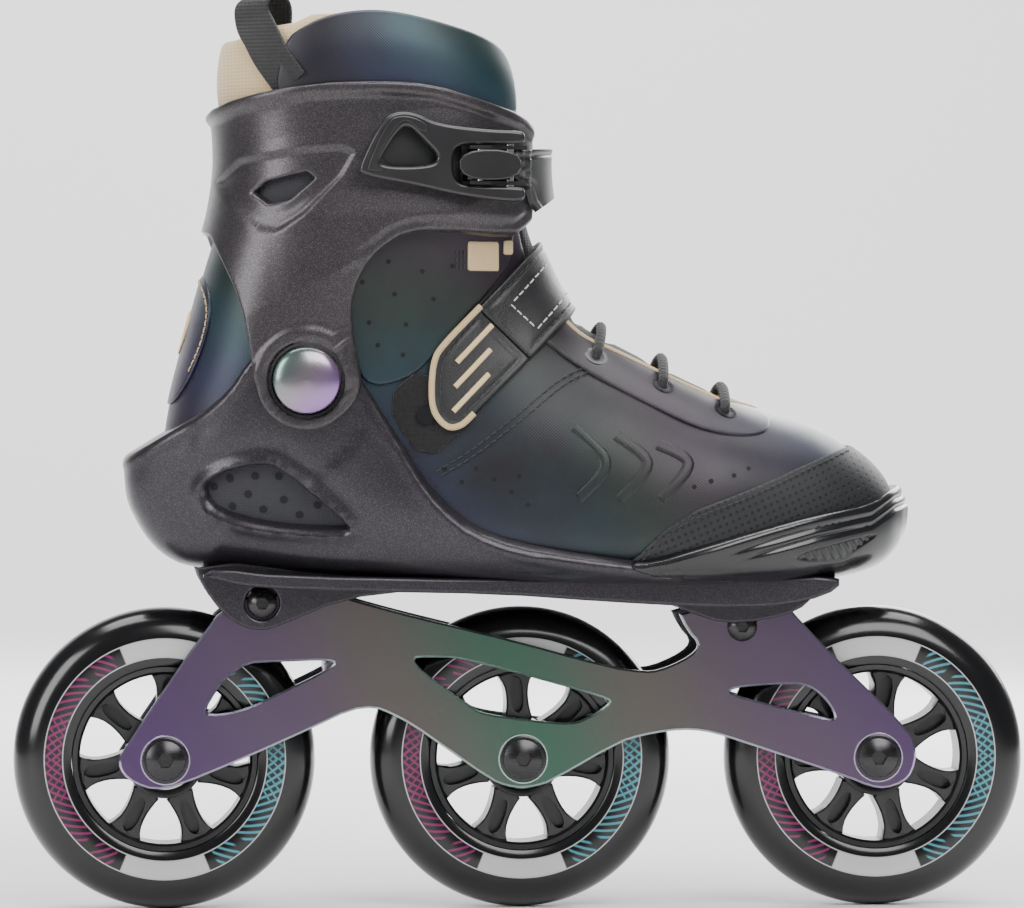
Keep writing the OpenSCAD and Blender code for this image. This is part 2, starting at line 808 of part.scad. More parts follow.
module race_ring(r0, r1) {
    for (side = [-1, 1]) translate([0, 0, side * (race_in + race_w / 2)]) difference() {
        cylinder(r = r1, h = race_w, center = true);
        cylinder(r = r0, h = race_w + 2, center = true);
        rotate_extrude() translate([ball_pitch_r, 0]) circle(ball_r + 0.06);
    }
}

module bearing_inner_races() {
    color("silver") at_axles() race_ring(axle_r + 0.03, 6);
}

module bearing_spacers() {
    color("silver") at_axles() difference() {
        cylinder(r = 5.5, h = 2 * race_in - 0.04, center = true);
        cylinder(r = axle_r + 0.03, h = 100, center = true);
    }
}

module at_wheel(i) {
    translate([axle_x[i], 0, axle_z]) rotate([90, 0, 0]) children();
}

core_r = 33.8;

module tyre() {
    side = wheel_w / 2;
    color([0.05, 0.05, 0.05]) rotate_extrude($fn = 96) {
        intersection() {
            translate([wheel_r - side, 0]) circle(side);
            translate([wheel_r - side, -side]) square(wheel_w);
        }
        polygon([
            [core_r, 1 - side], [core_r + 3, 0.4 - side], [wheel_r - side, -side], [wheel_r - side, side],
            [core_r + 3, side - 0.4], [core_r, side - 1]
        ]);
    }
}

module hub(phase) {
    half = hub_half - 1.2;
    color([0.08, 0.08, 0.09]) difference() {
        union() {
            difference() {
                cylinder(r = core_r - 0.03, h = 2 * half, center = true, $fn = 96);
                cylinder(r = core_r - 3, h = 40, center = true, $fn = 96);
            }
            difference() {
                cylinder(r = 14, h = 2 * hub_half - 0.4, center = true);
                cylinder(r = 8.6, h = 40, center = true);
            }
            difference() {
                for (i = [0 : spokes - 1]) rotate(phase + 360 * i / spokes) translate([0, 0, -half + 1]) linear_extrude(2 * half - 2)
                    polygon([[12, -5], [22, -3.6], [32, -5.4], [32, 5.4], [22, 3.6], [12, 5]]);
                for (i = [0 : spokes - 1], s = [-1, 1]) rotate(phase + 360 * i / spokes) translate([23.5, 0, s * half])
                    cube([13, 3.2, 6], center = true);
                cylinder(r = 11.5, h = 40, center = true);
            }
        }
        for (s = [-1, 1]) translate([0, 0, s * (race_in + 10)]) cylinder(r = 11.02, h = 20, center = true);
    }
}

module outer_races() {
    color("silver") race_ring(9, 11);
}

module balls() {
    color("silver") for (side = [-1, 1], k = [0 : 6])
        rotate(k * 360 / 7) translate([ball_pitch_r, 0, side * (race_in + race_w / 2)]) sphere(ball_r);
}

module shields() {
    color("dimgray") for (side = [-1, 1]) translate([0, 0, side * (race_in + race_w - 0.5)]) difference() {
        cylinder(r = 8.9, h = 0.6, center = true);
        cylinder(r = 6.2, h = 2, center = true);
    }
}

shell();
toe_bumper();
toe_cap();
upper();
tongue_base();
footbed();
heel_patch();
laces();
eyelets();
strap_anchor();
strap_rivets();
instep_strap();
strap_flap();
strap_inlays();
frame();
wheel_axles();
axle_bolts();
mount_bolts();
mount_nuts();
bearing_spacers();
bearing_inner_races();
at_wheel(0) tyre();  // rear_tyre
at_wheel(0) hub(87);  // rear_hub
at_wheel(0) outer_races();  // rear_outer_races
at_wheel(0) balls();  // rear_balls
at_wheel(0) shields();  // rear_shields
at_wheel(1) tyre();  // middle_tyre
at_wheel(1) hub(94);  // middle_hub
at_wheel(1) outer_races();  // middle_outer_races
at_wheel(1) balls();  // middle_balls
at_wheel(1) shields();  // middle_shields
at_wheel(2) tyre();  // front_tyre
at_wheel(2) hub(81);  // front_hub
at_wheel(2) outer_races();  // front_outer_races
at_wheel(2) balls();  // front_balls
at_wheel(2) shields();  // front_shields
cuff();
cuff_pivot_bolts();
cuff_pivot_caps();
cuff_pivot_bushes();
liner_collar();
tongue_top();
pull_loop();
buckle_base();
buckle_pin();
buckle_lever();
release_tab();
release_pin();
release_spring();
ladder_strap();
ladder_rivet();
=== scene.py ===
"""An inline skate's looks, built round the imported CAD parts. Lengths are in mm until a mesh is made."""

import math

import bpy
import numpy as np
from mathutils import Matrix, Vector
from mathutils.kdtree import KDTree


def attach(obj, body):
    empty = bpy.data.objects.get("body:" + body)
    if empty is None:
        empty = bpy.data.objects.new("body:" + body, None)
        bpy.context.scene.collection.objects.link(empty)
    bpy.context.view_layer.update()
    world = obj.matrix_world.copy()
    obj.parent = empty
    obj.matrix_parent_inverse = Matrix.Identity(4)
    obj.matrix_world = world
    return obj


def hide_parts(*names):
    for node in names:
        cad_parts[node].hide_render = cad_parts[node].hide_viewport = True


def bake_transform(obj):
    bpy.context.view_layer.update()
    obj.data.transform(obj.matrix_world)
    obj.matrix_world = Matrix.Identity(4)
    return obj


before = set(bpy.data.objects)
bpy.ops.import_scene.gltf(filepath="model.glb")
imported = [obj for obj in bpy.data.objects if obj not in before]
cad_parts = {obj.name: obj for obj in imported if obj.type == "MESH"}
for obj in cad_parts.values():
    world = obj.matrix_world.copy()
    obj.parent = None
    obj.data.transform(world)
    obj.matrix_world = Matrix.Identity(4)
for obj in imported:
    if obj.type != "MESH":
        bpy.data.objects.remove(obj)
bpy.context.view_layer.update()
MM = 0.001
PIVOT = (-80.0, 193.0)
AXLE_Z, WHEEL_PITCH = 55, 130
WHEELS = {"rear": -WHEEL_PITCH, "middle": 0, "front": WHEEL_PITCH}

# ---- the last, as in the CAD source ----

# Each row is one section from toe to collar: its low point (x, z), its high point (x, z), half width, shift
# across, height of the widest point, roundness below and above it, and lift of the middle.
LAST = np.array([
    [137.5, 140, 138, 144, 6, 7, .45, 2.2, 2.2, 0],
    [135, 134, 136.5, 150, 16, 7, .42, 2.4, 2.2, 0],
    [130, 129, 132.5, 158, 25.5, 6.5, .40, 2.6, 2.2, 0],
    [120, 125.5, 123.5, 166.5, 34.5, 6, .36, 3, 2.2, 0],
    [104, 123.5, 108, 175, 42, 4.5, .33, 3.5, 2.2, 0],
    [80, 122.5, 86, 182, 47, 3, .32, 4, 2.2, 0],
    [52, 122, 62, 192.5, 48.5, 2, .32, 4, 2.1, 0],
    [20, 122, 38, 204.5, 46, 1, .33, 4, 2.1, 0],
    [-14, 122.5, 24, 212, 43, 0.5, .35, 3.6, 2.1, 0],
    [-50, 123.5, 16, 220, 40.5, 0, .38, 3.2, 2.2, 0],
    [-88, 125, 10.5, 229, 39.5, 0, .42, 2.8, 2.3, 0],
    [-118, 132, 6.5, 238, 40, 0, .45, 2.6, 2.4, 0],
    [-130, 152, 3, 247.5, 41, 0, .46, 2.5, 2.5, 0],
    [-129, 178, 1, 257, 42, 0, .46, 2.5, 2.6, 0],
    [-123, 204, 0, 266, 43, 0, .46, 2.5, 2.7, 1],
    [-115.5, 231, 0, 275, 44, 0, .46, 2.5, 2.7, 3],
    [-109, 256, 0, 283, 45, 0, .46, 2.5, 2.7, 6],
    [-108, 278, -1, 291, 45.5, 0, .46, 2.5, 2.7, 9],
    [-110, 302, -2.5, 302, 45, 0, .46, 2.5, 2.6, 12],
    [-108, 320, -5, 313, 42, 0, .47, 2.4, 2.5, 12],
])


def station(t):
    i = np.clip(np.floor(t).astype(int), 0, len(LAST) - 2)
    u = (t - i)[:, None]
    a, b, c, d = (LAST[np.clip(i + k, 0, len(LAST) - 1)] for k in (-1, 0, 1, 2))
    return 0.5 * (2 * b + (c - a) * u + (2 * a - 5 * b + 4 * c - d) * u**2 + (3 * b - a - 3 * c + d) * u**3)


def skin(t, a, d):
    """Points of the last's skin grown by d: t runs from toe to collar, a round it in degrees from the top."""
    t, a, d = np.broadcast_arrays(*(np.atleast_1d(np.asarray(v, float)) for v in (t, a, d)))
    s = station(t)
    low, high = s[:, 0:2], s[:, 2:4]
    along = (high - low) / np.linalg.norm(high - low, axis=1)[:, None]
    low, high = low - d[:, None] * along, high + d[:, None] * along
    c, n = np.cos(np.radians(a)), np.sin(np.radians(a))
    power = 2 / np.where(c > 0, s[:, 8], s[:, 7])
    bulge = np.abs(c) ** power
    v = np.where(c > 0, s[:, 6] + (1 - s[:, 6]) * bulge, s[:, 6] * (1 - bulge))
    p = low + (high - low) * v[:, None]
    x = p[:, 0] + d * np.maximum(0, 1 - t / 3)
    y = s[:, 5] + (s[:, 4] + d) * np.sign(n) * np.abs(n) ** power
    return np.stack([x, y, p[:, 1] + s[:, 9] * np.sin(np.pi * v)], 1)


# ---- side-view fields: distance in mm to an outline, positive inside ----

def rounded(points, times=2):
    """Cuts an outline's corners, evenly."""
    p = np.array(points, float)
    for _ in range(times):
        q = np.roll(p, -1, axis=0)
        p = np.stack([0.75 * p + 0.25 * q, 0.25 * p + 0.75 * q], 1).reshape(-1, 2)
    return p


def outline_distance(points, x, z):
    """How far side-view places are inside an outline, negative outside it."""
    p = np.array(points, float)
    best = np.full(x.shape, 1e9)
    inside = np.zeros(x.shape, bool)
    for (x1, z1), (x2, z2) in zip(p, np.roll(p, -1, axis=0)):
        ex, ez = x2 - x1, z2 - z1
        u = np.clip(((x - x1) * ex + (z - z1) * ez) / max(ex * ex + ez * ez, 1e-12), 0, 1)
        best = np.minimum(best, np.hypot(x - x1 - u * ex, z - z1 - u * ez))
        if z1 != z2:
            inside ^= ((z1 > z) != (z2 > z)) & (x < ex * (z - z1) / ez + x1)
    return np.where(inside, best, -best)


def area(points, times=2):
    """A field that is positive inside a side-view outline, on both sides of the boot."""
    p = rounded(points, times) if times else points
    return lambda q: outline_distance(p, q[:, 0], q[:, 2])


def disc(x, z, r):
    return lambda q: r - np.hypot(q[:, 0] - x, q[:, 2] - z)


def both(*fields):
    return lambda q: np.min([f(q) for f in fields], axis=0)


def either(*fields):
    return lambda q: np.max([f(q) for f in fields], axis=0)


def without(field, *holes):
    return lambda q: np.min([field(q)] + [-h(q) for h in holes], axis=0)


def side(sign):
    return lambda q: sign * q[:, 1]


def bell(v, centre, width):
    """A smooth bump of height 1."""
    return np.exp(-((v - centre) / width) ** 2)


def slope(v, start, run):
    """Rises from 0 to 1 over a run."""
    return np.clip((v - start) / run, 0, 1)


# ---- meshes ----

def mesh_object(name, points, faces, material, smooth_angle=40):
    mesh = bpy.data.meshes.new(name)
    mesh.from_pydata((np.asarray(points, float) * MM).tolist(), [], [list(map(int, f)) for f in faces])
    mesh.materials.append(material)
    mesh.update()
    obj = bpy.data.objects.new(name, mesh)
    bpy.context.scene.collection.objects.link(obj)
    smooth(obj, smooth_angle)
    return obj


def smooth(obj, angle):
    obj.data.polygons.foreach_set("use_smooth", [True] * len(obj.data.polygons))
    obj.data.set_sharp_from_angle(angle=math.radians(angle))


def split_at(t, a, f, polys, level, drop):
    """Splits polygons of the (t, a) plane where field f crosses level, and can drop what is below it."""
    fa = np.array(f)
    low = [fa[list(p)].min() if len(p) != 4 else min(fa[p[0]], fa[p[1]], fa[p[2]], fa[p[3]]) for p in polys]
    high = [fa[list(p)].max() if len(p) != 4 else max(fa[p[0]], fa[p[1]], fa[p[2]], fa[p[3]]) for p in polys]
    out, cuts = [], {}
    t, a, f = list(t), list(a), list(f)

    def cut(i, j):
        key = (min(i, j), max(i, j))
        if key not in cuts:
            u = (level - f[i]) / (f[j] - f[i])
            cuts[key] = len(t)
            t.append(t[i] + u * (t[j] - t[i]))
            a.append(a[i] + u * (a[j] - a[i]))
            f.append(level)
        return cuts[key]

    for p, lo, hi in zip(polys, low, high):
        if lo >= level:
            out.append(p)
            continue
        if hi <= level:
            if not drop:
                out.append(p)
            continue
        above, below = [], []
        for i, j in zip(p, p[1:] + p[:1]):
            if f[i] >= level:
                above.append(i)
            if f[i] <= level:
                below.append(i)
            if (f[i] - level) * (f[j] - level) < 0:
                k = cut(i, j)
                above.append(k)
                below.append(k)
        if len(above) > 2:
            out.append(tuple(above))
        if not drop and len(below) > 2:
            out.append(tuple(below))
    return t, a, f, out


def evened(angles):
    """Packs columns closer near the widest line on the sole side, where the last turns fastest."""
    off = np.abs(angles) - 90
    return np.where(off > 0, np.sign(angles) * (90 + 90 * (np.maximum(off, 0) / 90) ** 1.6), angles)


def panel(name, field, material, t=(0, 19), a=(-180, 180), inner=0.0, outer=2.0, edge=1.0,
          grid=(120, 120), relief=None):
    """A closed sheet with rounded edges over the last where field is positive, from growth inner to outer."""
    nt, na = grid
    wrap = a[1] - a[0] >= 360
    ts, angles = np.linspace(*t, nt + 1), np.linspace(*a, na + 1)
    if max(np.abs(a)) <= 180:
        angles = evened(angles)
    if wrap:
        angles = angles[:-1]
    columns = len(angles)
    tt, aa = (v.ravel() for v in np.meshgrid(ts, angles, indexing="ij"))

    def grow(d, t):
        return d(t) if callable(d) else np.full(len(t), float(d))

    ff = field(skin(tt, aa, grow(outer, tt)))
    # At the seam the first column repeats with a turn added, so that cut points interpolate the right way.
    polys = []
    for i in range(nt):
        for j in range(na):
            k = (j + 1) % columns
            polys.append((i * columns + j, i * columns + k, (i + 1) * columns + k, (i + 1) * columns + j))
    if wrap:
        seam = len(tt)
        tt = np.concatenate([tt, ts])
        aa = np.concatenate([aa, np.full(nt + 1, float(a[1]))])
        ff = np.concatenate([ff, ff.reshape(nt + 1, columns)[:, 0]])
        polys = [
            p if (n % na) != na - 1 else (p[0], seam + n // na, seam + n // na + 1, p[3])
            for n, p in enumerate(polys)
        ]
    tt, aa, ff, polys = split_at(tt, aa, ff, polys, 0.0, True)
    for share in (0.08, 0.3, 0.62, 1.0):
        if edge > 0:
            tt, aa, ff, polys = split_at(tt, aa, ff, polys, share * edge, False)
    tt, aa, ff = np.array(tt), np.array(aa), np.array(ff)
    if wrap:
        # The two copies of the seam are one line again.
        merged = {}
        index = np.arange(len(tt))
        for n in np.nonzero((np.abs(aa - a[1]) < 1e-9) | (np.abs(aa - a[0]) < 1e-9))[0]:
            index[n] = merged.setdefault(round(float(tt[n]), 6), n)
        polys = [tuple(int(index[i]) for i in p) for p in polys]
    used = sorted({i for p in polys for i in p})
    lookup = {k: n for n, k in enumerate(used)}
    polys = [tuple(lookup[i] for i in p) for p in polys]
    tt, aa, ff = tt[used], aa[used], ff[used]
    out_d, in_d = grow(outer, tt), grow(inner, tt)
    if edge > 0:
        rim = np.clip(1 - ff / edge, 0, 1)
        out_d = np.maximum(in_d + 0.05, out_d - edge * (1 - np.sqrt(1 - rim**2)))
    if relief is not None:
        out_d = out_d + relief(skin(tt, aa, out_d), ff, tt, aa)
    top, bottom = skin(tt, aa, out_d), skin(tt, aa, in_d)
    n = len(tt)
    borders = {pair: None for p in polys for pair in zip(p, p[1:] + p[:1])}
    walls = [(j, i, i + n, j + n) for (i, j) in borders if (j, i) not in borders]
    faces = polys + [tuple(i + n for i in p[::-1]) for p in polys] + walls
    return mesh_object(name, np.vstack([top, bottom]), faces, material)


class Side:
    """Finds points of the last's skin under a side-view point."""

    def __init__(self, sign):
        places = np.meshgrid(np.linspace(0, 19, 300), np.linspace(2, 178, 120), indexing="ij")
        t, a = (v.ravel() for v in places)
        self.t, self.a = t, a * sign
        p = skin(t, self.a, 1.0)
        self.tree = KDTree(len(t))
        for i, q in enumerate(p):
            self.tree.insert((q[0], 0, q[2]), i)
        self.tree.balance()

    def at(self, x, z, d):
        """(point, outward normal) at side-view place (x, z), grown by d."""
        i = self.tree.find((x, 0, z))[1]
        t, a = self.t[i], self.a[i]
        for _ in range(4):
            q = skin([t, t + 0.01, t], [a, a, a + 0.1], d)
            m = np.array([[q[1][0] - q[0][0], q[2][0] - q[0][0]], [q[1][2] - q[0][2], q[2][2] - q[0][2]]])
            if abs(np.linalg.det(m)) < 1e-9:
                break
            step = np.linalg.solve(m, [x - q[0][0], z - q[0][2]])
            t = float(np.clip(t + np.clip(step[0], -30, 30) * 0.01, 0, 19))
            a = float(a + np.clip(step[1], -60, 60) * 0.1)
        q = skin([t, t + 0.02, t], [a, a, a + 0.3], d)
        n = np.cross(q[2] - q[0], q[1] - q[0])
        return q[0], n / np.linalg.norm(n)


OUTER, INNER = Side(-1), Side(1)
SIDES = ((-1, "outer", OUTER), (1, "inner", INNER))


def resample(points, step):
    """The same line with evenly spaced points."""
    p = np.array(points, float)
    length = np.concatenate([[0], np.cumsum(np.linalg.norm(np.diff(p, axis=0), axis=1))])
    n = max(2, int(round(length[-1] / step)) + 1)
    s = np.linspace(0, length[-1], n)
    return np.stack([np.interp(s, length, p[:, k]) for k in range(p.shape[1])], 1)


def curve_through(points, step):
    """A smooth line through 2D or 3D points."""
    p = np.array(points, float)
    out = []
    for i in range(len(p) - 1):
        a, b, c, d = p[max(0, i - 1)], p[i], p[i + 1], p[min(len(p) - 1, i + 2)]
        for u in np.linspace(0, 1, 9)[:-1]:
            out.append(0.5 * (2 * b + (c - a) * u + (2 * a - 5 * b + 4 * c - d) * u**2
                              + (3 * b - a - 3 * c + d) * u**3))
    out.append(p[-1])
    return resample(out, step)


def frames_along(path, ups):
    """Directions across a path and up from it, near the given ups."""
    heads = np.gradient(path, axis=0)
    heads /= np.linalg.norm(heads, axis=1)[:, None]
    across = np.cross(heads, ups)
    across /= np.linalg.norm(across, axis=1)[:, None]
    return across, np.cross(across, heads)


def swept(path, ups, profile):
    """(points, faces) of a profile, in (across, up), swept along a 3D path."""
    path, profile = np.array(path, float), np.array(profile, float)
    across, up = frames_along(path, np.array(ups, float))
    rings = path[:, None] + profile[None, :, :1] * across[:, None] + profile[None, :, 1:] * up[:, None]
    n, m = len(path), len(profile)
    return rings.reshape(-1, 3), tube_faces(n, m)


def tube_faces(n, m):
    """Faces of n rings of m points, closed at both ends."""
    faces = []
    for i in range(n - 1):
        for j in range(m):
            k = (j + 1) % m
            faces.append((i * m + j, (i + 1) * m + j, (i + 1) * m + k, i * m + k))
    return faces + [tuple(range(m)), tuple(reversed(range((n - 1) * m, n * m)))]


def ellipse(w, h, n):
    return [(w / 2 * math.cos(2 * math.pi * k / n), h / 2 * math.sin(2 * math.pi * k / n)) for k in range(n)]


def joined(parts):
    points, faces, base = [], [], 0
    for p, f in parts:
        points.append(p)
        faces += [tuple(i + base for i in face) for face in f]
        base += len(p)
    return np.vstack(points), faces


def cord_on(side_finder, places, d, profile, step):
    """A cord or bead laid on the boot along side-view places."""
    line = curve_through(places, step)
    found = [side_finder.at(x, z, d) for x, z in line]
    return swept([p for p, _ in found], [n for _, n in found], profile)


STITCH_HUMP = ((0, 0.1), (0.2, 0.75), (0.5, 1), (0.8, 0.75), (1, 0.1))


def stitches_on(side_finder, places, d, length, gap, r):
    """Short humps of thread along side-view places."""
    fine = 0.5
    line = curve_through(places, fine)
    every, span = int(round((length + gap) / fine)), int(round(length / fine))
    parts = []
    for i in range(0, len(line) - span, every):
        (p, n), (q, _) = side_finder.at(*line[i], d), side_finder.at(*line[i + span], d)
        path = [p + (q - p) * u + n * r * lift for u, lift in STITCH_HUMP]
        parts.append(swept(path, [n] * len(path), ellipse(2 * r, 2 * r, 6)))
    return joined(parts)


def dots_on(side_finder, places, d, r, depth):
    """Small flat discs that lie on the boot."""
    n_sides = 10
    parts = []
    for x, z in places:
        p, n = side_finder.at(x, z, d)
        u = np.cross(n, [0, 0, 1.0])
        u /= np.linalg.norm(u)
        w = np.cross(n, u)
        turns = [2 * math.pi * k / n_sides for k in range(n_sides)]
        ring = [p + r * (math.cos(turn) * u + math.sin(turn) * w) for turn in turns]
        pts = ring + [q + depth * n for q in ring]
        faces = [(k, (k + 1) % n_sides, n_sides + (k + 1) % n_sides, n_sides + k) for k in range(n_sides)]
        faces += [tuple(range(n_sides, 2 * n_sides)), tuple(range(n_sides - 1, -1, -1))]
        parts.append((np.array(pts), faces))
    return joined(parts)


def plate(name, outlines, y0, y1, bevel, material, steps=3, place=None):
    """A flat plate from a side-view outline and holes, between y0 and y1, with rounded edges."""
    curve = bpy.data.curves.new(name, "CURVE")
    curve.dimensions = "2D"
    curve.fill_mode = "BOTH"
    for points in outlines:
        spline = curve.splines.new("POLY")
        spline.points.add(len(points) - 1)
        for q, (x, z) in zip(spline.points, points):
            q.co = (x * MM, z * MM, 0, 1)
        spline.use_cyclic_u = True
    curve.bevel_depth = bevel * MM
    curve.offset = -bevel * MM
    curve.bevel_resolution = steps - 1
    curve.extrude = ((y1 - y0) / 2 - bevel) * MM
    temp = bpy.data.objects.new(name + "_curve", curve)
    bpy.context.scene.collection.objects.link(temp)
    mesh = bpy.data.meshes.new_from_object(temp.evaluated_get(bpy.context.evaluated_depsgraph_get()))
    bpy.data.objects.remove(temp)
    obj = bpy.data.objects.new(name, mesh)
    bpy.context.scene.collection.objects.link(obj)
    mesh.materials.clear()
    mesh.materials.append(material)
    for v in mesh.vertices:
        x, z, h = v.co
        p = np.array([x, (y0 + y1) / 2 * MM - h, z])
        v.co = p if place is None else place(p)
    smooth(obj, 35)
    return obj


def lathe(profile, n, x=0, z=0):
    """(points, faces) of a closed profile in (radius, y) turned about a line along Y through (x, z)."""
    m = len(profile)
    pts = [
        (x + r * math.cos(2 * math.pi * i / n), y, z + r * math.sin(2 * math.pi * i / n))
        for i in range(n) for r, y in profile
    ]
    faces = [
        (i * m + j, i * m + (j + 1) % m, ((i + 1) % n) * m + (j + 1) % m, ((i + 1) % n) * m + j)
        for i in range(n) for j in range(m)
    ]
    return np.array(pts), faces


# ---- materials: every one is worked out from the object's own coordinates ----

class Nodes:
    """A short way to write a material's nodes."""

    def __init__(self, name):
        self.material = bpy.data.materials.new(name)
        self.material.use_nodes = True
        self.tree = self.material.node_tree
        self.bsdf = self.tree.nodes["Principled BSDF"]
        self.place = self.add("ShaderNodeTexCoord").outputs["Object"]

    def add(self, kind, values=None, **settings):
        node = self.tree.nodes.new(kind)
        for key, value in settings.items():
            setattr(node, key, value)
        for key, value in (values or {}).items():
            self.put(node.inputs[key], value)
        return node

    def put(self, socket, value):
        if isinstance(value, bpy.types.NodeSocket):
            self.tree.links.new(value, socket)
        elif hasattr(socket.default_value, "__len__") and hasattr(value, "__len__") and len(value) == 3:
            size = len(socket.default_value)
            socket.default_value = tuple(value) + (1,) * (size - 3)
        else:
            socket.default_value = value

    def surface(self, **values):
        names = {
            "color": "Base Color", "rough": "Roughness", "metal": "Metallic", "coat": "Coat Weight",
            "coat_rough": "Coat Roughness", "sheen": "Sheen Weight", "sheen_rough": "Sheen Roughness",
            "specular": "Specular IOR Level", "normal": "Normal", "aniso": "Anisotropic",
        }
        for key, value in values.items():
            self.put(self.bsdf.inputs[names[key]], value)
        return self.material

    def math(self, operation, a, b=0.0, c=0.0):
        node = self.add("ShaderNodeMath", {0: a, 1: b, 2: c}, operation=operation)
        return node.outputs[0]

    def noise(self, scale, detail=2.0, rough=0.5, place=None):
        values = {"Vector": place or self.place, "Scale": scale, "Detail": detail, "Roughness": rough}
        return self.add("ShaderNodeTexNoise", values).outputs["Fac"]

    def wave(self, scale, place, direction):
        values = {"Vector": place, "Scale": scale}
        return self.add("ShaderNodeTexWave", values, bands_direction=direction).outputs["Fac"]

    def cells(self, scale, feature="F1", output="Distance"):
        values = {"Vector": self.place, "Scale": scale}
        return self.add("ShaderNodeTexVoronoi", values, feature=feature).outputs[output]

    def ramp(self, fac, *stops, ease=False):
        node = self.add("ShaderNodeValToRGB", {"Fac": fac})
        node.color_ramp.interpolation = "EASE" if ease else "LINEAR"
        ends = node.color_ramp.elements
        while len(ends) < len(stops):
            ends.new(0.5)
        for end, (place, color) in zip(ends, stops):
            end.position = place
            end.color = (*color, 1)
        return node.outputs["Color"]

    def mix(self, fac, a, b):
        node = self.add("ShaderNodeMix", data_type="RGBA")
        self.put(node.inputs[0], fac)
        self.put(node.inputs[6], a)
        self.put(node.inputs[7], b)
        return node.outputs[2]

    def bump(self, height, strength, distance):
        values = {"Height": height, "Strength": strength, "Distance": distance}
        return self.add("ShaderNodeBump", values).outputs["Normal"]

    def turned(self, angles=(0, 0, 0), scale=(1, 1, 1)):
        values = {"Vector": self.place, "Rotation": angles, "Scale": scale}
        return self.add("ShaderNodeMapping", values).outputs["Vector"]

    def axes(self, place=None):
        node = self.add("ShaderNodeSeparateXYZ", {0: place or self.place})
        return node.outputs[0], node.outputs[1], node.outputs[2]


def grey(v):
    return (v, v, v)


def times(color, share):
    return tuple(min(1, c * share) for c in color)


def fleck_plastic(name, dark, light, rough=0.36):
    """Satin plastic with a fine metallic grain."""
    n = Nodes(name)
    grain = n.cells(5200, output="Color")
    level = n.math("POWER", n.add("ShaderNodeSeparateColor", {0: grain}).outputs[0], 4.0)
    color = n.mix(level, dark, light)
    scratch = n.noise(90, 4, 0.6, n.turned(scale=(1, 1, 6)))
    roughness = n.math("MULTIPLY_ADD", scratch, 0.1, rough - 0.05)
    tooth = n.bump(n.noise(1500, 2), 0.15, 0.00004)
    return n.surface(color=color, rough=roughness, metal=0.55, specular=0.5, coat=0.1, coat_rough=0.25,
                     normal=tooth)


def plain_plastic(name, color, rough=0.4, coat=0.0, grain=0.15):
    n = Nodes(name)
    cloud = n.noise(30, 4)
    tone = n.mix(cloud, times(color, 0.85), times(color, 1.2))
    return n.surface(color=tone, rough=n.math("MULTIPLY_ADD", n.noise(60, 3), 0.12, rough - 0.06), coat=coat,
                     coat_rough=0.1, normal=n.bump(n.noise(1300, 2), grain, 0.00006))


def metal(name, color, rough=0.25, brushed=0.0):
    n = Nodes(name)
    lines = n.noise(260, 2, 0.5, n.turned(scale=(1, 1, 12)))
    return n.surface(color=n.mix(n.noise(40, 2), color, times(color, 0.8)), metal=1.0,
                     rough=n.math("MULTIPLY_ADD", lines, 0.14, rough - 0.07),
                     normal=n.bump(lines, brushed, 0.00004))


def weave_height(n, scale, angles=(0, 0, 0)):
    """An over-and-under weave in the side view's plane."""
    x, _, z = n.axes(n.turned(angles))
    a = n.math("SINE", n.math("MULTIPLY", x, scale))
    b = n.math("SINE", n.math("MULTIPLY", z, scale))
    return n.math("MULTIPLY", a, b)


def shifting_fabric(name, base_dark=(0.009, 0.008, 0.012), strength=1.0, weave=5200, rough=0.42):
    """Coated fabric with a fine knit, whose colour drifts from plum through blue to green over the boot."""
    n = Nodes(name)
    x, _, z = n.axes()
    drift = n.math("ADD", n.math("MULTIPLY", x, 5.5), n.math("MULTIPLY", z, 6.5))
    drift = n.math("ADD", drift, n.math("MULTIPLY", n.noise(7, 2), 0.9))
    drift = n.math("FRACT", drift)
    tint = n.ramp(drift, (0.0, (0.05, 0.024, 0.055)), (0.2, (0.022, 0.03, 0.085)),
                  (0.38, (0.012, 0.055, 0.07)), (0.55, (0.02, 0.042, 0.028)), (0.75, (0.04, 0.03, 0.034)),
                  (1.0, (0.05, 0.024, 0.055)))
    patch = n.math("MULTIPLY", n.ramp(n.noise(16, 3), (0.35, grey(0)), (0.7, grey(1))), 0.75 * strength)
    color = n.mix(patch, base_dark, tint)
    height = weave_height(n, weave)
    rough_height = n.math("MULTIPLY_ADD", n.noise(900, 2), 0.5, height)
    color = n.mix(n.math("MULTIPLY_ADD", height, 0.2, 0.2), color, grey(0.006))
    return n.surface(color=color, rough=n.math("MULTIPLY_ADD", n.noise(50, 2), 0.16, rough - 0.08),
                     metal=0.35, specular=0.5, sheen=0.05, sheen_rough=0.4, coat=0.08, coat_rough=0.3,
                     normal=n.bump(rough_height, 0.35, 0.0001))


def knit(name, color, scale=3600, sheen=0.3, rough=0.85, bump=0.5):
    n = Nodes(name)
    height = weave_height(n, scale, (0, math.radians(45), 0))
    fuzz = n.noise(1200, 3)
    tone = n.mix(n.math("MULTIPLY_ADD", height, 0.22, 0.3), color, times(color, 0.55))
    tone = n.mix(n.math("MULTIPLY", n.noise(60, 3), 0.35), tone, times(color, 0.75))
    return n.surface(color=tone, rough=rough, sheen=sheen, sheen_rough=0.45,
                     normal=n.bump(n.math("MULTIPLY_ADD", fuzz, 0.6, height), bump, 0.00015))


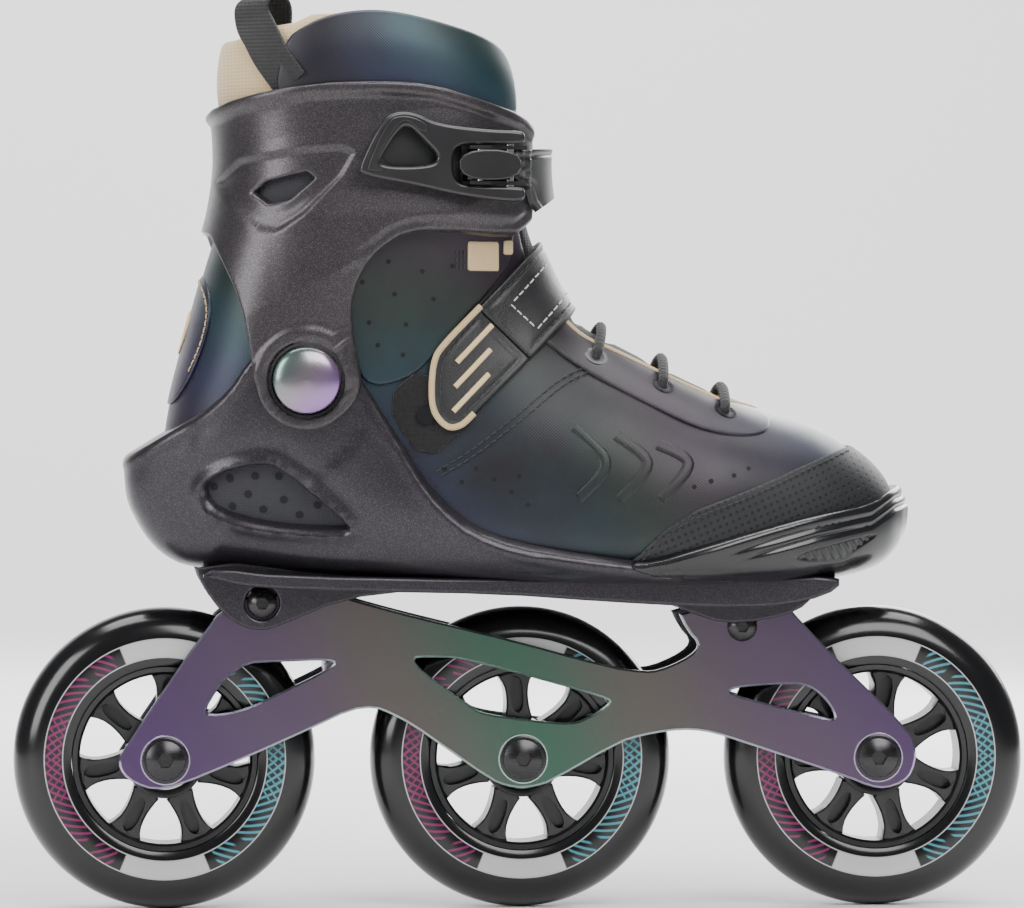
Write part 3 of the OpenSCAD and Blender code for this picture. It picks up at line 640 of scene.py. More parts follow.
def dotted_fabric(name, color):
    """Matt black fabric with staggered pinholes; the pits are mixed to near black, which is painted shade."""
    n = Nodes(name)
    waves = weave_height(n, 1745, (0, math.radians(-22), 0))
    pit = n.ramp(waves, (0.5, grey(0)), (0.66, grey(1)))
    tone = n.mix(n.noise(300, 3), color, times(color, 1.5))
    # The pits are mixed to near black: painted shade inside the pinholes, which the same mask also sinks as a
    # bump.
    return n.surface(color=n.mix(pit, tone, grey(0.001)), rough=0.55, specular=0.4,
                     normal=n.bump(n.math("MULTIPLY_ADD", pit, -1.0,
                                          n.math("MULTIPLY", n.noise(1500, 2), 0.12)), 0.7, 0.0003))


def leather(name, color, rough=0.42):
    n = Nodes(name)
    cells = n.cells(900, "DISTANCE_TO_EDGE")
    crease = n.math("MINIMUM", n.math("MULTIPLY", cells, 6.0), 1.0)
    folds = n.noise(120, 4, 0.6)
    height = n.math("MULTIPLY_ADD", folds, 0.8, crease)
    tone = n.mix(crease, times(color, 0.4), color)
    return n.surface(color=tone, rough=n.math("MULTIPLY_ADD", n.noise(220, 3), 0.16, rough - 0.05),
                     specular=0.5, coat=0.15, coat_rough=0.3, normal=n.bump(height, 0.4, 0.00012))


def braid(name, color):
    """A braided cord's fine ribs."""
    n = Nodes(name)
    a = n.wave(420, n.turned((0, math.radians(35), math.radians(20))), "DIAGONAL")
    b = n.wave(420, n.turned((0, math.radians(-35), math.radians(-20))), "DIAGONAL")
    height = n.math("MAXIMUM", a, b)
    return n.surface(color=n.mix(height, times(color, 0.35), color), rough=0.75, sheen=0.25,
                     sheen_rough=0.4, normal=n.bump(height, 0.6, 0.0003))


FRAME_RUN = 0.32


def frame_metal(name):
    """Anodising that runs from purple at both ends through taupe to green over the middle wheel."""
    n = Nodes(name)
    x, _, z = n.axes()
    along = n.math("ADD", n.math("MULTIPLY", x, 1 / FRAME_RUN), 0.5)
    along = n.math("ADD", along, n.math("MULTIPLY", n.math("SUBTRACT", z, 0.075), 1.2))
    along = n.math("ADD", along, n.math("MULTIPLY", n.math("SUBTRACT", n.noise(9, 2), 0.5), 0.08))
    color = n.ramp(along, (0.04, (0.105, 0.064, 0.145)), (0.22, (0.12, 0.088, 0.135)),
                   (0.36, (0.127, 0.113, 0.107)), (0.5, (0.068, 0.135, 0.1)),
                   (0.64, (0.127, 0.116, 0.107)), (0.8, (0.12, 0.088, 0.13)),
                   (0.97, (0.105, 0.064, 0.145)), ease=True)
    lines = n.noise(300, 3, 0.6, n.turned(scale=(1, 1, 14)))
    return n.surface(color=color, metal=1.0, rough=n.math("MULTIPLY_ADD", lines, 0.12, 0.24), aniso=0.4,
                     normal=n.bump(lines, 0.12, 0.00003))


def edge_metal(name):
    """The bright cut edge of the anodised frame."""
    n = Nodes(name)
    x, _, _ = n.axes()
    along = n.math("ADD", n.math("MULTIPLY", x, 1 / FRAME_RUN), 0.5)
    color = n.ramp(along, (0.0, (0.42, 0.32, 0.5)), (0.5, (0.36, 0.5, 0.42)), (1.0, (0.42, 0.32, 0.5)))
    return n.surface(color=color, metal=1.0, rough=n.math("MULTIPLY_ADD", n.noise(200, 2), 0.1, 0.16))


PRINT_IN, PRINT_OUT, PRINT_EDGE = 37.3, 43.6, 0.35
URETHANE, PRINT_LINE, PRINT_GREY = (0.004, 0.004, 0.0045), grey(0.6), grey(0.5)
PRINT_MAGENTA, PRINT_CYAN = (0.17, 0.01, 0.085), (0.05, 0.23, 0.28)


def tyre_rubber(name):
    """Glossy urethane with a printed ring: plain grey bands at top and bottom and hatching in two colours."""
    n = Nodes(name)
    x, y, z = n.axes()
    squares = n.math("ADD", n.math("MULTIPLY", x, x), n.math("MULTIPLY", z, z))
    radius = n.math("MULTIPLY", n.math("SQRT", squares), 1 / MM)
    angle = n.math("MULTIPLY", n.math("ARCTAN2", z, x), 180 / math.pi)

    def within(value, low, high, soft=0.12):
        up = n.add("ShaderNodeMapRange", {0: value, 1: low - soft, 2: low + soft}).outputs[0]
        down = n.add("ShaderNodeMapRange", {0: value, 1: high + soft, 2: high - soft}).outputs[0]
        return n.math("MULTIPLY", up, down)

    ring = within(radius, PRINT_IN, PRINT_OUT)
    lines = n.math("MAXIMUM", within(radius, PRINT_IN - PRINT_EDGE, PRINT_IN),
                   within(radius, PRINT_OUT, PRINT_OUT + PRINT_EDGE))
    off_left = n.math("ABSOLUTE", n.math("SUBTRACT", n.math("ABSOLUTE", angle), 180))
    off_right = n.math("ABSOLUTE", angle)

    def hatched(off):
        """Slanted strokes near one side, crossed where they are nearest to it."""
        round_part, out_part = n.math("MULTIPLY", off, 0.22), n.math("MULTIPLY", radius, 0.28)
        steep = n.math("FRACT", n.math("ADD", round_part, out_part))
        other = n.math("FRACT", n.math("SUBTRACT", round_part, out_part))
        strokes = within(steep, 0.25, 0.62, 0.06)
        crossing = n.math("MULTIPLY", within(other, 0.25, 0.5, 0.06), within(off, -1, 22, 1))
        zone = n.math("MAXIMUM", within(off, -1, 46, 0.6), within(off, 51, 63, 0.6))
        return n.math("MULTIPLY", n.math("MAXIMUM", strokes, crossing), zone)

    left = n.math("MULTIPLY", hatched(off_left), ring)
    right = n.math("MULTIPLY", hatched(off_right), ring)
    up_band = within(n.math("ABSOLUTE", n.math("SUBTRACT", n.math("ABSOLUTE", angle), 90)), -1, 22, 0.4)
    band = n.math("MULTIPLY", up_band, ring)
    color = n.mix(n.math("MULTIPLY", lines, 0.75), URETHANE, PRINT_LINE)
    for mask, ink in ((left, PRINT_MAGENTA), (right, PRINT_CYAN), (band, PRINT_GREY)):
        color = n.mix(n.math("MULTIPLY", mask, 0.9), color, ink)
    side_face = n.math("GREATER_THAN", n.math("ABSOLUTE", y), 0.0085)
    color = n.mix(side_face, URETHANE, color)
    wear = n.noise(140, 3)
    return n.surface(color=color, rough=n.math("MULTIPLY_ADD", wear, 0.08, 0.15), specular=0.45, coat=0.2,
                     coat_rough=0.12, normal=n.bump(n.noise(25, 2), 0.05, 0.0002))


def pearl(name):
    """The cuff's pivot cap: a pearly face that runs from purple to green."""
    n = Nodes(name)
    x, _, z = n.axes()
    from_pivot = n.math("SUBTRACT", x, PIVOT[0] * MM), n.math("SUBTRACT", z, PIVOT[1] * MM)
    run = n.math("ADD", n.math("MULTIPLY", from_pivot[0], 28), n.math("MULTIPLY", from_pivot[1], -22))
    run = n.math("ADD", run, 0.5)
    color = n.ramp(run, (0.1, (0.12, 0.2, 0.17)), (0.45, (0.28, 0.24, 0.27)), (0.8, (0.3, 0.17, 0.4)))
    return n.surface(color=color, metal=0.8, rough=n.math("MULTIPLY_ADD", n.noise(70, 3), 0.1, 0.2), coat=0.4,
                     coat_rough=0.1)


SHELL = fleck_plastic("shell_satin", (0.022, 0.019, 0.023), (0.085, 0.075, 0.09), 0.32)
CUFF_PLASTIC = fleck_plastic("cuff_satin", (0.034, 0.030, 0.033), (0.12, 0.105, 0.115), 0.34)
BUMPER_GLOSS = plain_plastic("bumper_gloss", (0.006, 0.006, 0.007), 0.26, 0.3, 0.08)
BLACK = plain_plastic("black_satin", (0.008, 0.008, 0.009), 0.38, 0.1)
BUCKLE = plain_plastic("buckle_satin", (0.012, 0.0115, 0.0125), 0.32, 0.15, 0.12)
LADDER_PLASTIC = plain_plastic("ladder_satin", (0.008, 0.008, 0.009), 0.36, 0.15)
HUB_PLASTIC = plain_plastic("hub_satin", (0.006, 0.006, 0.0065), 0.33, 0.25, 0.1)
UPPER = shifting_fabric("upper_fabric")
QUARTER = shifting_fabric("quarter_fabric", (0.012, 0.011, 0.016), 1.25, 6200, 0.36)
TOE_SKIN = dotted_fabric("toe_fabric", (0.010, 0.0105, 0.0115))
PATCH = shifting_fabric("patch_fabric", (0.03, 0.013, 0.036), 0.8, 5600, 0.38)
BEIGE_KNIT = knit("beige_knit", (0.66, 0.50, 0.28))
BEIGE = plain_plastic("beige_trim", (0.66, 0.49, 0.26), 0.45)
BEIGE_TAPE = knit("beige_tape", (0.62, 0.46, 0.25), 5200, 0.1, 0.7, 0.35)
DARK_KNIT = knit("dark_knit", (0.010, 0.010, 0.011), 4200, 0.15, 0.8, 0.5)
LINING = knit("lining_knit", (0.024, 0.024, 0.03), 4200, 0.15, 0.85, 0.5)
WEBBING = knit("webbing", (0.010, 0.010, 0.011), 3300, 0.12, 0.7, 0.8)
STRAP_LEATHER = leather("strap_leather", (0.009, 0.009, 0.010))
PILE = knit("loop_pile", (0.006, 0.006, 0.0065), 2600, 0.4, 0.95, 1.0)
LACE = braid("lace_braid", (0.014, 0.014, 0.015))
THREAD = knit("white_thread", (0.62, 0.6, 0.58), 9000, 0.1, 0.7, 0.2)
DARK_THREAD = knit("dark_thread", (0.03, 0.03, 0.033), 9000, 0.1, 0.7, 0.2)
# Near-black for holes: painted shade standing in for the depth of real openings.
HOLE = plain_plastic("hole_painted_shade", (0.003, 0.003, 0.003), 0.9, 0, 0.0)
FRAME = frame_metal("frame_anodised")
FRAME_EDGE = edge_metal("frame_chamfer")
STEEL = metal("bright_steel", (0.62, 0.62, 0.64), 0.22, 0.1)
DARK_STEEL = metal("dark_steel", (0.06, 0.058, 0.06), 0.28, 0.1)
BALL_STEEL = metal("ball_steel", (0.7, 0.7, 0.72), 0.12)
PEARL = pearl("cap_pearl")


# ---- the soft boot ----


def stands_for(obj, nodes):
    if nodes:
        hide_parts(*nodes)
    return obj


def on_body(obj, body, *nodes, slot=None):
    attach(obj, body)
    return stands_for(obj, nodes)


def over_ankle(obj, *nodes, slot=None):
    """For fabric that is held by the foot below and by the cuff above."""
    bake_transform(obj)
    return stands_for(obj, nodes)


def piece(name, geometry, material, body, *nodes, slot=None, angle=40):
    obj = mesh_object(name, *geometry, material, angle)
    return on_body(obj, body, *nodes, slot=slot)


THROAT_LINE = [(-22, 196), (86, 168), (90, 215), (0, 330), (-22, 330)]


def throat_half(x):
    """Half the width of the throat, which narrows towards the toe."""
    return 17.0 - np.clip((x - 72) * 0.9, 0, 14)


def throat_gap(q):
    """Positive inside the gap that the tongue fills."""
    return np.minimum(throat_half(q[:, 0]) - np.abs(q[:, 1]), outline_distance(THROAT_LINE, q[:, 0], q[:, 2]))


def soft_swell(q, f, t, a):
    """Padding stands a little prouder away from its edges."""
    return 0.35 * np.sin(q[:, 0] * 0.09) * np.cos(q[:, 2] * 0.11) * slope(f, 0, 8)


below_collar = without(lambda q: 268 - q[:, 2], throat_gap)
upper = panel("upper_soft", below_collar, UPPER, t=(0, 17), grid=(210, 150), inner=-5.5, outer=0.0,
              edge=2.2, relief=soft_swell)
over_ankle(upper, "upper", slot="upper_fabric")

# The quarter panel: a second skin between the strap and the cuff.
quarter_line = [(-62, 196), (-56, 190.5), (-47.4, 192.1), (-39.7, 195.6), (-31, 204), (-26, 211),
                (-12, 226), (-3, 238), (-4, 262), (-60, 268), (-80, 240)]
quarter = panel("quarter_panel", both(area(quarter_line, 2), side(-1)), QUARTER, t=(9, 17), a=(-150, -10),
                grid=(90, 70), inner=0.05, outer=1.3, edge=1.0)
over_ankle(quarter, slot="upper_fabric")
# The perforations are real holes drawn as flat near-black discs; their black is painted shade for the holes'
# depth.
holes = [(-50.3, 235.5), (-59.7, 228.1), (-48.1, 223.8), (-33.9, 222.1), (-57.3, 213.6), (-43.9, 212.9),
         (-54.1, 205.5), (-38, 232), (-27, 234), (-45, 202)]
over_ankle(mesh_object("quarter_perforations", *dots_on(OUTER, holes, 1.32, 0.9, 0.06), HOLE))

# The eyestays along the lacing, and the vamp's holes.
eyestay_line = [(88, 172), (92, 183), (60, 200), (22, 222), (8, 232), (-8, 222), (4, 210), (22, 196),
                (45, 184), (66, 174)]
eyestay = panel("eyestays", both(area(eyestay_line, 2), lambda q: -throat_gap(q) - 0.3), QUARTER,
                t=(4, 11), a=(-75, 75), grid=(90, 110), inner=0.05, outer=1.0, edge=0.9)
on_body(eyestay, "chassis", slot="upper_fabric")
vamp_holes = [(-29.9, 160.9), (-23.7, 156.2), (-18.6, 161.1), (-12.1, 157.2), (-3.1, 158.3),
              (-17.8, 151.1), (-6, 152.7), (-11.9, 147.4), (0, 148), (59.8, 154.5), (66, 156.5),
              (74.5, 158.5), (80, 161), (86.6, 163.3)]
# The vamp's holes are flat near-black discs; their black is painted shade for the holes' depth.
piece("vamp_perforations", dots_on(OUTER, vamp_holes, 0.08, 0.9, 0.06), HOLE, "chassis")

# Three plain raised chevrons on the vamp.
chevrons = []
for k in range(3):
    x0 = 18 + 15 * k
    chevron = [(x0, 150), (x0 + 10, 163), (x0 - 1, 176 - 3 * k)]
    chevrons.append(cord_on(OUTER, chevron, 0.1, ellipse(4.2, 1.1, 12), 1.5))
piece("vamp_chevrons", joined(chevrons), UPPER, "chassis", slot="upper_fabric")

VAMP_SEAM = [(-33, 160), (-20, 168), (-4, 180), (14, 194), (30, 200)]
for tag, dx, dz in (("0", 0, 0), ("b0", 2.2, -1.2)):
    row = stitches_on(OUTER, [(x + dx, z + dz) for x, z in VAMP_SEAM], 0.15, 2.2, 1.0, 0.28)
    piece(f"upper_stitches_{tag}", row, DARK_THREAD, "chassis")

# Beige piping shows along the throat on both sides.
for sign, tag, _ in SIDES:
    line = []
    for t in np.linspace(5.0, 9.6, 40):
        for a in np.linspace(8, 60, 53):
            p = skin(t, sign * a, 0.2)[0]
            if abs(p[1]) >= throat_half(p[0]) - 1.0:
                up = skin(t, sign * a, 1.2)[0] - p
                line.append((p, up / np.linalg.norm(up)))
                break
    path = resample([p for p, _ in line], 2.0)
    ups = resample([u for _, u in line], 0.01)
    ups = ups[np.linspace(0, len(ups) - 1, len(path)).astype(int)]
    piece(f"throat_piping_{tag}", swept(path, ups, ellipse(2.6, 2.4, 10)), BEIGE_TAPE, "chassis")


def tongue_swell(q, f, t, a):
    """The laces press shallow channels into the tongue."""
    rows = np.cos((t - 5.52) / 0.95 * 2 * np.pi)
    return -0.9 * np.clip(rows, 0, 1) * slope(f, 0, 5) * (t < 9)


def in_throat(q):
    return np.minimum(throat_half(q[:, 0]) - 0.4 - np.abs(q[:, 1]), 84 - q[:, 0])


tongue_low = panel("tongue_lower", in_throat, DARK_KNIT, t=(4.6, 13.2), a=(-60, 60), grid=(120, 50),
                   inner=-4.8, outer=-0.4, edge=2.0, relief=tongue_swell)
over_ankle(tongue_low, "tongue_base", slot="tongue_fabric")

footbed = panel("footbed_pad", lambda q: np.minimum(q[:, 0] + 124, 126 - q[:, 0]), LINING, t=(2, 12),
                a=(128, 232), grid=(80, 40), inner=-6.3, outer=-9.5, edge=0)
on_body(footbed, "chassis", "footbed", slot="footbed_foam")


# ---- the collar: padding swollen by a cloth simulation, then its panels ----

def swell_as_cloth(obj, hold_below, frames=14, pressure=4.0, voxel=4.5, limit=3.0):
    """Inflates a closed pad a little, with everything below a height held still."""
    scene = bpy.context.scene
    remesh = obj.modifiers.new("remesh", "REMESH")
    remesh.mode = "VOXEL"
    remesh.voxel_size = voxel * MM
    bpy.context.view_layer.objects.active = obj
    bpy.ops.object.modifier_apply(modifier="remesh")
    rest = np.array([v.co for v in obj.data.vertices])
    group = obj.vertex_groups.new(name="held")
    group.add([i for i, p in enumerate(rest) if p[2] < hold_below * MM], 1.0, "REPLACE")
    cloth = obj.modifiers.new("cloth", "CLOTH")
    s = cloth.settings
    s.quality = 6
    s.mass = 0.25
    s.tension_stiffness = s.compression_stiffness = 25
    s.shear_stiffness = 15
    s.bending_stiffness = 1.5
    s.use_pressure = True
    s.uniform_pressure_force = pressure
    s.vertex_group_mass = "held"
    s.effector_weights.gravity = 0
    cloth.collision_settings.use_collision = False
    cloth.point_cache.frame_start, cloth.point_cache.frame_end = 1, frames
    for f in range(1, frames + 1):
        scene.frame_set(f)
    moved = obj.evaluated_get(bpy.context.evaluated_depsgraph_get())
    co = np.array([v.co for v in moved.data.vertices])
    obj.modifiers.remove(cloth)
    scene.frame_set(1)
    shift = co - rest
    length = np.linalg.norm(shift, axis=1)
    shift *= (np.minimum(length, limit * MM) / np.maximum(length, 1e-9))[:, None]
    for v, p in zip(obj.data.vertices, rest + shift):
        v.co = p
    obj.data.update()


def collar_form(q, f, t, a):
    """A gentle bulge under the top edge."""
    return 1.2 * np.sin(slope(t, 16.5, 2.5) * np.pi)


collar_zone = without(lambda q: q[:, 2] - 262,
                      lambda q: np.minimum(17 - np.abs(q[:, 1]), q[:, 0] + 24))
collar = panel("collar_pad", collar_zone, BEIGE_KNIT, t=(15.2, 18.75), grid=(60, 130), inner=-6.0, outer=-0.3,
               edge=2.6, relief=collar_form)
swell_as_cloth(collar, 292)
collar.modifiers.new("smooth", "SUBSURF").levels = 1
collar.modifiers["smooth"].render_levels = 1
smooth(collar, 60)
on_body(collar, "cuff", "liner_collar", slot="collar_fabric")

collar_line = [(-92, 290), (-88, 315), (-80, 320.5), (-72.3, 324), (-60.2, 326), (-47.2, 325.5),
               (-29.8, 321.5), (-12.6, 316.5), (-6, 311), (-3.6, 300), (-2, 285), (-50, 280)]
for sign, tag in ((-1, ""), (1, "_inner")):
    collar_panel = panel(f"collar_panel{tag}", both(area(collar_line, 2), side(sign)), QUARTER,
                         t=(15.8, 18.95), a=sorted((sign * 6, sign * 150)), grid=(60, 80), inner=0.6,
                         outer=2.2, edge=1.4, relief=collar_form)
    on_body(collar_panel, "cuff", slot="upper_fabric")

tongue_up = panel("tongue_upper", lambda q: np.minimum(16.6 - np.abs(q[:, 1]), q[:, 0] + 22), DARK_KNIT,
                  t=(13.2, 18.7), a=(-75, 75), grid=(90, 60), inner=-6.0, outer=-0.6, edge=2.4)
on_body(tongue_up, "cuff", "tongue_top", slot="tongue_fabric")

# The heel patch, with a plain beige oval.
patch_line = [(-140, 181.4), (-129, 182), (-122, 192), (-116.3, 207), (-113.6, 219), (-117, 232),
              (-122, 243), (-140, 243)]
patch = panel("heel_patch_skin", area(patch_line, 2), PATCH, t=(11.5, 16), a=(100, 260), grid=(70, 60),
              inner=0.05, outer=1.3, edge=1.0)
over_ankle(patch, "heel_patch", slot="patch_fabric")
for _, tag, finder in SIDES:
    seam = stitches_on(finder, [(-121.5, 196), (-117, 207), (-115, 219), (-118, 231)], 1.4, 1.8, 0.9, 0.26)
    over_ankle(mesh_object(f"heel_patch_stitches_{tag}", *seam, BEIGE_TAPE))
over_ankle(panel("heel_emblem", lambda q: 1 - np.hypot((q[:, 2] - 210) / 8.0, q[:, 1] / 9.0), BEIGE,
                 t=(13, 15), a=(140, 220), grid=(60, 60), inner=1.2, outer=2.1, edge=0.2))


# ---- hard shell ----

SHELL_RIM = [(-150, 166), (-134, 171), (-118, 180.5), (-108, 189), (-101, 200), (-92, 209), (-72, 209),
             (-60, 193.5), (-51.1, 178.9), (-43.5, 166.3), (-36.1, 153.7), (-25.8, 142.3), (-13.4, 134.9),
             (5.7, 129.7), (37.1, 124.7), (58, 122), (90, 119), (119, 117.5)]
SHELL_LINE = [*SHELL_RIM, (119, 100), (-150, 100)]
WINDOW = [(-117.2, 150.7), (-116.1, 155.6), (-107.1, 160.5), (-95.8, 162.6), (-91, 161.5), (-79.7, 153.5),
          (-63.6, 139.9), (-66.5, 138.7), (-83.3, 139.3), (-97.2, 140.9), (-112.6, 145.1)]
WINDOW_EDGE = rounded(WINDOW, 1)
WING_CREASE = rounded([(-130, 130), (-60, 165), (-58, 190), (-30, 140), (20, 126), (-60, 128)])


def heel_spur(t, a):
    """How far the shell's back stands out past the boot's heel."""
    reach = np.interp(t, [10, 10.6, 11, 11.6, 12, 12.25, 12.5, 12.85],
                      [0, 1.7, 4.7, 7.7, 9.7, 11.2, 12.2, 13.7])
    u = slope(np.abs(a), 138, 36)
    return reach * u * u * (3 - 2 * u)


def shell_relief(q, f, t, a):
    """Raised lips along the rim and the window, a crease across the side wing and the heel's spur."""
    lip = 0.5 * bell(f, 2.4, 1.5)
    wing = outline_distance(WING_CREASE, q[:, 0], q[:, 2])
    from_window = -outline_distance(WINDOW_EDGE, q[:, 0], q[:, 2])
    window_lip = 0.6 * bell(from_window, 1.6, 1.1) - 0.5 * bell(from_window, 6.5, 2.6)
    return lip + 0.55 / (1 + np.exp(-wing * 1.2)) + window_lip + heel_spur(t, a)


shell_skin = panel("shell_skin", without(area(SHELL_LINE, 1), area(WINDOW_EDGE, 0)), SHELL, t=(4, 16),
                   grid=(170, 170), inner=0.4, outer=4.3, edge=1.7, relief=shell_relief)
on_body(shell_skin, "chassis", "shell", slot="shell_plastic")

# Behind the window lies a perforated liner.
BACK_NET = [(-122, 140), (-122, 160), (-96, 168), (-60, 148), (-60, 136)]
back_net = panel("window_net", both(area(BACK_NET, 1), side(-1)), LINING, t=(8, 13.5), a=(-178, -60),
                 grid=(70, 60), inner=0.1, outer=0.9, edge=0.5)
on_body(back_net, "chassis")
net_holes = [(-112.6, 154.6), (-100.5, 151.9), (-89.6, 158.4), (-87.7, 149.9), (-75.6, 148.1),
             (-106, 147.5), (-95, 146.5), (-82, 144.5), (-98, 158.5), (-107, 157.5)]
# The liner's holes are flat near-black discs; their black is painted shade for the holes' depth.
piece("window_holes", dots_on(OUTER, net_holes, 0.95, 1.5, 0.08), HOLE, "chassis")

# A keel under the sole, and the ears and blocks that the frame's cross bolts go through.
KEEL = [(-118, 122), (-112, 121), (-100, 118), (-60, 116.5), (-10, 115.5), (30, 112.5), (66, 110.5),
        (88, 110.5), (102, 112.5), (114, 117), (114, 122), (80, 121), (-14, 121), (-88, 122.5),
        (-112, 125.5)]
on_body(plate("keel", [rounded(KEEL, 1)], -33, 33, 1.2, SHELL), "chassis")
REAR_EAR = rounded([(-119.9, 127), (-116.7, 118.2), (-109.3, 108.2), (-101.9, 103.3), (-95.9, 102.2),
                    (-90.7, 102.9), (-65.7, 113.5), (-40, 116.5), (-30, 122), (-60, 127)], 1)
REAR_RECESS = [(-95 + x, 112 + z) for x, z in ellipse(12.4, 12.4, 40)]
FRONT_EAR = rounded([(55.3, 113), (56, 109.8), (64, 107), (72.5, 104.2), (88, 105.2), (100.1, 108.7),
                     (106, 114), (80, 118)], 1)
for sign, tag, _ in SIDES:
    low, high = sorted((sign * 18.4, sign * 22.4))
    on_body(plate(f"rear_mount_{tag}", [REAR_EAR, REAR_RECESS], low, high, 0.9, SHELL), "chassis")
    on_body(plate(f"front_mount_{tag}", [FRONT_EAR], low, high, 0.9, SHELL), "chassis")
for x0, x1, z0, z1 in ((-99, -64, 103.5, 121), (66, 91, 97.5, 118)):
    tongue_block = [(x0, z0), (x1, z0), (x1, z1), (x0, z1)]
    on_body(plate(f"mount_tongue_{x0}", [rounded(tongue_block, 1)], -14.6, 14.6, 0.8, SHELL), "chassis")


# ---- toe: bumper with two grooves and a grille, and a dotted cap ----

BUMPER = [(34.5, 124.7), (44.4, 125.5), (63.1, 131.6), (81.8, 137.6), (104.1, 143.7), (126.5, 148),
          (136.3, 154), (150, 158), (150, 112), (66.8, 119.4), (51.5, 118)]
GRILLE = [(95.6, 129.7), (111.6, 133.8), (131.8, 138.3), (119.1, 130.1), (115.4, 126.5), (98.2, 126.8)]
GRILLE_EDGE = rounded(GRILLE)
BUMPER_TOP = np.array([(30, 121.5), *BUMPER[1:8]])


def bumper_relief(q, f, t, a):
    """Two grooves run parallel to the top edge; the insert sits in a shallow hollow."""
    top = np.interp(q[:, 0], BUMPER_TOP[:, 0], BUMPER_TOP[:, 1]) - q[:, 2]
    grooves = sum(0.9 * bell(top, groove, 0.8) for groove in (4.4, 8.0)) * slope(q[:, 0], 66, 25)
    hollow = outline_distance(GRILLE_EDGE, q[:, 0], q[:, 2])
    return -grooves - 0.8 * slope(hollow, 0, 1.2)


bumper = panel("bumper_skin", area(BUMPER, 1), BUMPER_GLOSS, t=(0, 9.5), grid=(230, 520), inner=1.2,
               outer=4.6, edge=1.8, relief=bumper_relief)
on_body(bumper, "chassis", "toe_bumper", slot="bumper_plastic")
for sign, tag, _ in SIDES:
    insert = panel(f"bumper_grille_{tag}", area(GRILLE, 2), BLACK, t=(0.3, 6),
                   a=sorted((sign * 40, sign * 172)), grid=(150, 200), inner=3.3, outer=4.3, edge=0.5,
                   relief=lambda q, f, t, a: -0.3 + 0.3 * np.sin(q[:, 0] * 1.9 + q[:, 2] * 1.1))
    on_body(insert, "chassis")

CAP_LINE = [(33, 121), (38, 128), (54, 143.5), (81.8, 154), (104.1, 163.8), (122.1, 170.1), (131, 167),
            (150, 170), (150, 140), (60, 120)]
cap = panel("toe_cap_skin", area(CAP_LINE, 1), TOE_SKIN, t=(0, 9), grid=(120, 180), inner=0.1, outer=1.15,
            edge=0.9)
on_body(cap, "chassis", "toe_cap", slot="toe_fabric")
CAP_SEAM = [(41, 128), (55.5, 141), (82, 151.6), (104, 161.3), (121, 167.6)]
piece("toe_cap_stitches", stitches_on(OUTER, CAP_SEAM, 1.2, 1.6, 0.9, 0.24), DARK_THREAD, "chassis")


# ---- cuff ----

CUFF = [(-128, 284), (-113.6, 283.5), (-115.3, 289.5), (-103.4, 294.8), (-77.4, 299.4), (-51.4, 300.3),
        (-34.2, 299), (-17, 293.7), (-1.4, 288.6), (4.2, 283.5), (4.4, 252), (0.2, 248.1), (-4.2, 245.5),
        (-29, 246.9), (-43.7, 246.5), (-53.6, 240.3), (-60.2, 232.4), (-64.2, 222.3), (-63.1, 207.7),
        (-60.2, 195.4), (-60.4, 188), (-64.7, 182.1), (-71.6, 177), (-80.4, 175.2), (-91.7, 179.7),
        (-96.1, 185.4), (-99.5, 195.4), (-100.6, 203.3), (-103.9, 221.2), (-110.7, 235.9), (-115.8, 248),
        (-130, 247)]
CUFF_WINDOW = [(-102.9, 261.9), (-73.1, 269.2), (-91.7, 253.6)]
CUFF_RECESS = rounded([(-69.7, 277.3), (-61, 273.2), (-87.8, 245.8), (-99.9, 248), (-115.5, 269.6)], 1)
CUFF_RIM = np.array([(-128, 284), (-115.3, 289.5), (-103.4, 294.8), (-77.4, 299.4), (-51.4, 300.3),
                     (-34.2, 299), (-17, 293.7), (-1.4, 288.6), (4.2, 283.5), (12, 274)])


def cuff_grow(t):
    return np.where(t < 14, 5.4, np.maximum(1, 5.4 - 1.6 * (t - 14)))


def cuff_relief(q, f, t, a):
    """A rolled lip, a sunk field round the window, a stepped band down the front and a ring at the pivot."""
    below = np.interp(q[:, 0], CUFF_RIM[:, 0], CUFF_RIM[:, 1]) - q[:, 2]
    lip = 1.5 / (1 + np.exp((below - 4.6) * 2.2))
    sunk = outline_distance(CUFF_RECESS, q[:, 0], q[:, 2])
    recess = -1.3 * slope(sunk, -0.8, 1.6)
    front = slope(f, 3.6, 1.4) * slope(262 - q[:, 2], 0, 10) * slope(q[:, 0], -92, 12)
    lobe = 19.6 - np.hypot(q[:, 0] - PIVOT[0], q[:, 2] - PIVOT[1])
    ring = 0.9 * slope(lobe, 0, 1.2) - 1.3 * slope(lobe, 5.2, 0.8)
    return lip + recess * (q[:, 0] < -50) + 0.8 * front + ring


def bulged(grow, thickness):
    return lambda t: grow(t) + thickness


cuff_skin = panel("cuff_skin", without(either(area(CUFF, 1), disc(*PIVOT, 18)), area(CUFF_WINDOW, 1)),
                  CUFF_PLASTIC, t=(9, 18.6), grid=(230, 190), inner=cuff_grow,
                  outer=bulged(cuff_grow, 3.4), edge=1.3, relief=cuff_relief)
on_body(cuff_skin, "cuff", "cuff", slot="cuff_plastic")

BACK_OF_WINDOW = [(-108, 258), (-100, 268), (-66, 274), (-80, 256), (-94, 247)]
net = panel("cuff_window_back", both(area(BACK_OF_WINDOW), side(-1)), LINING, t=(13, 18), a=(-179, -60),
            grid=(60, 60), inner=0.2, outer=0.9, edge=0.4)
on_body(net, "cuff")

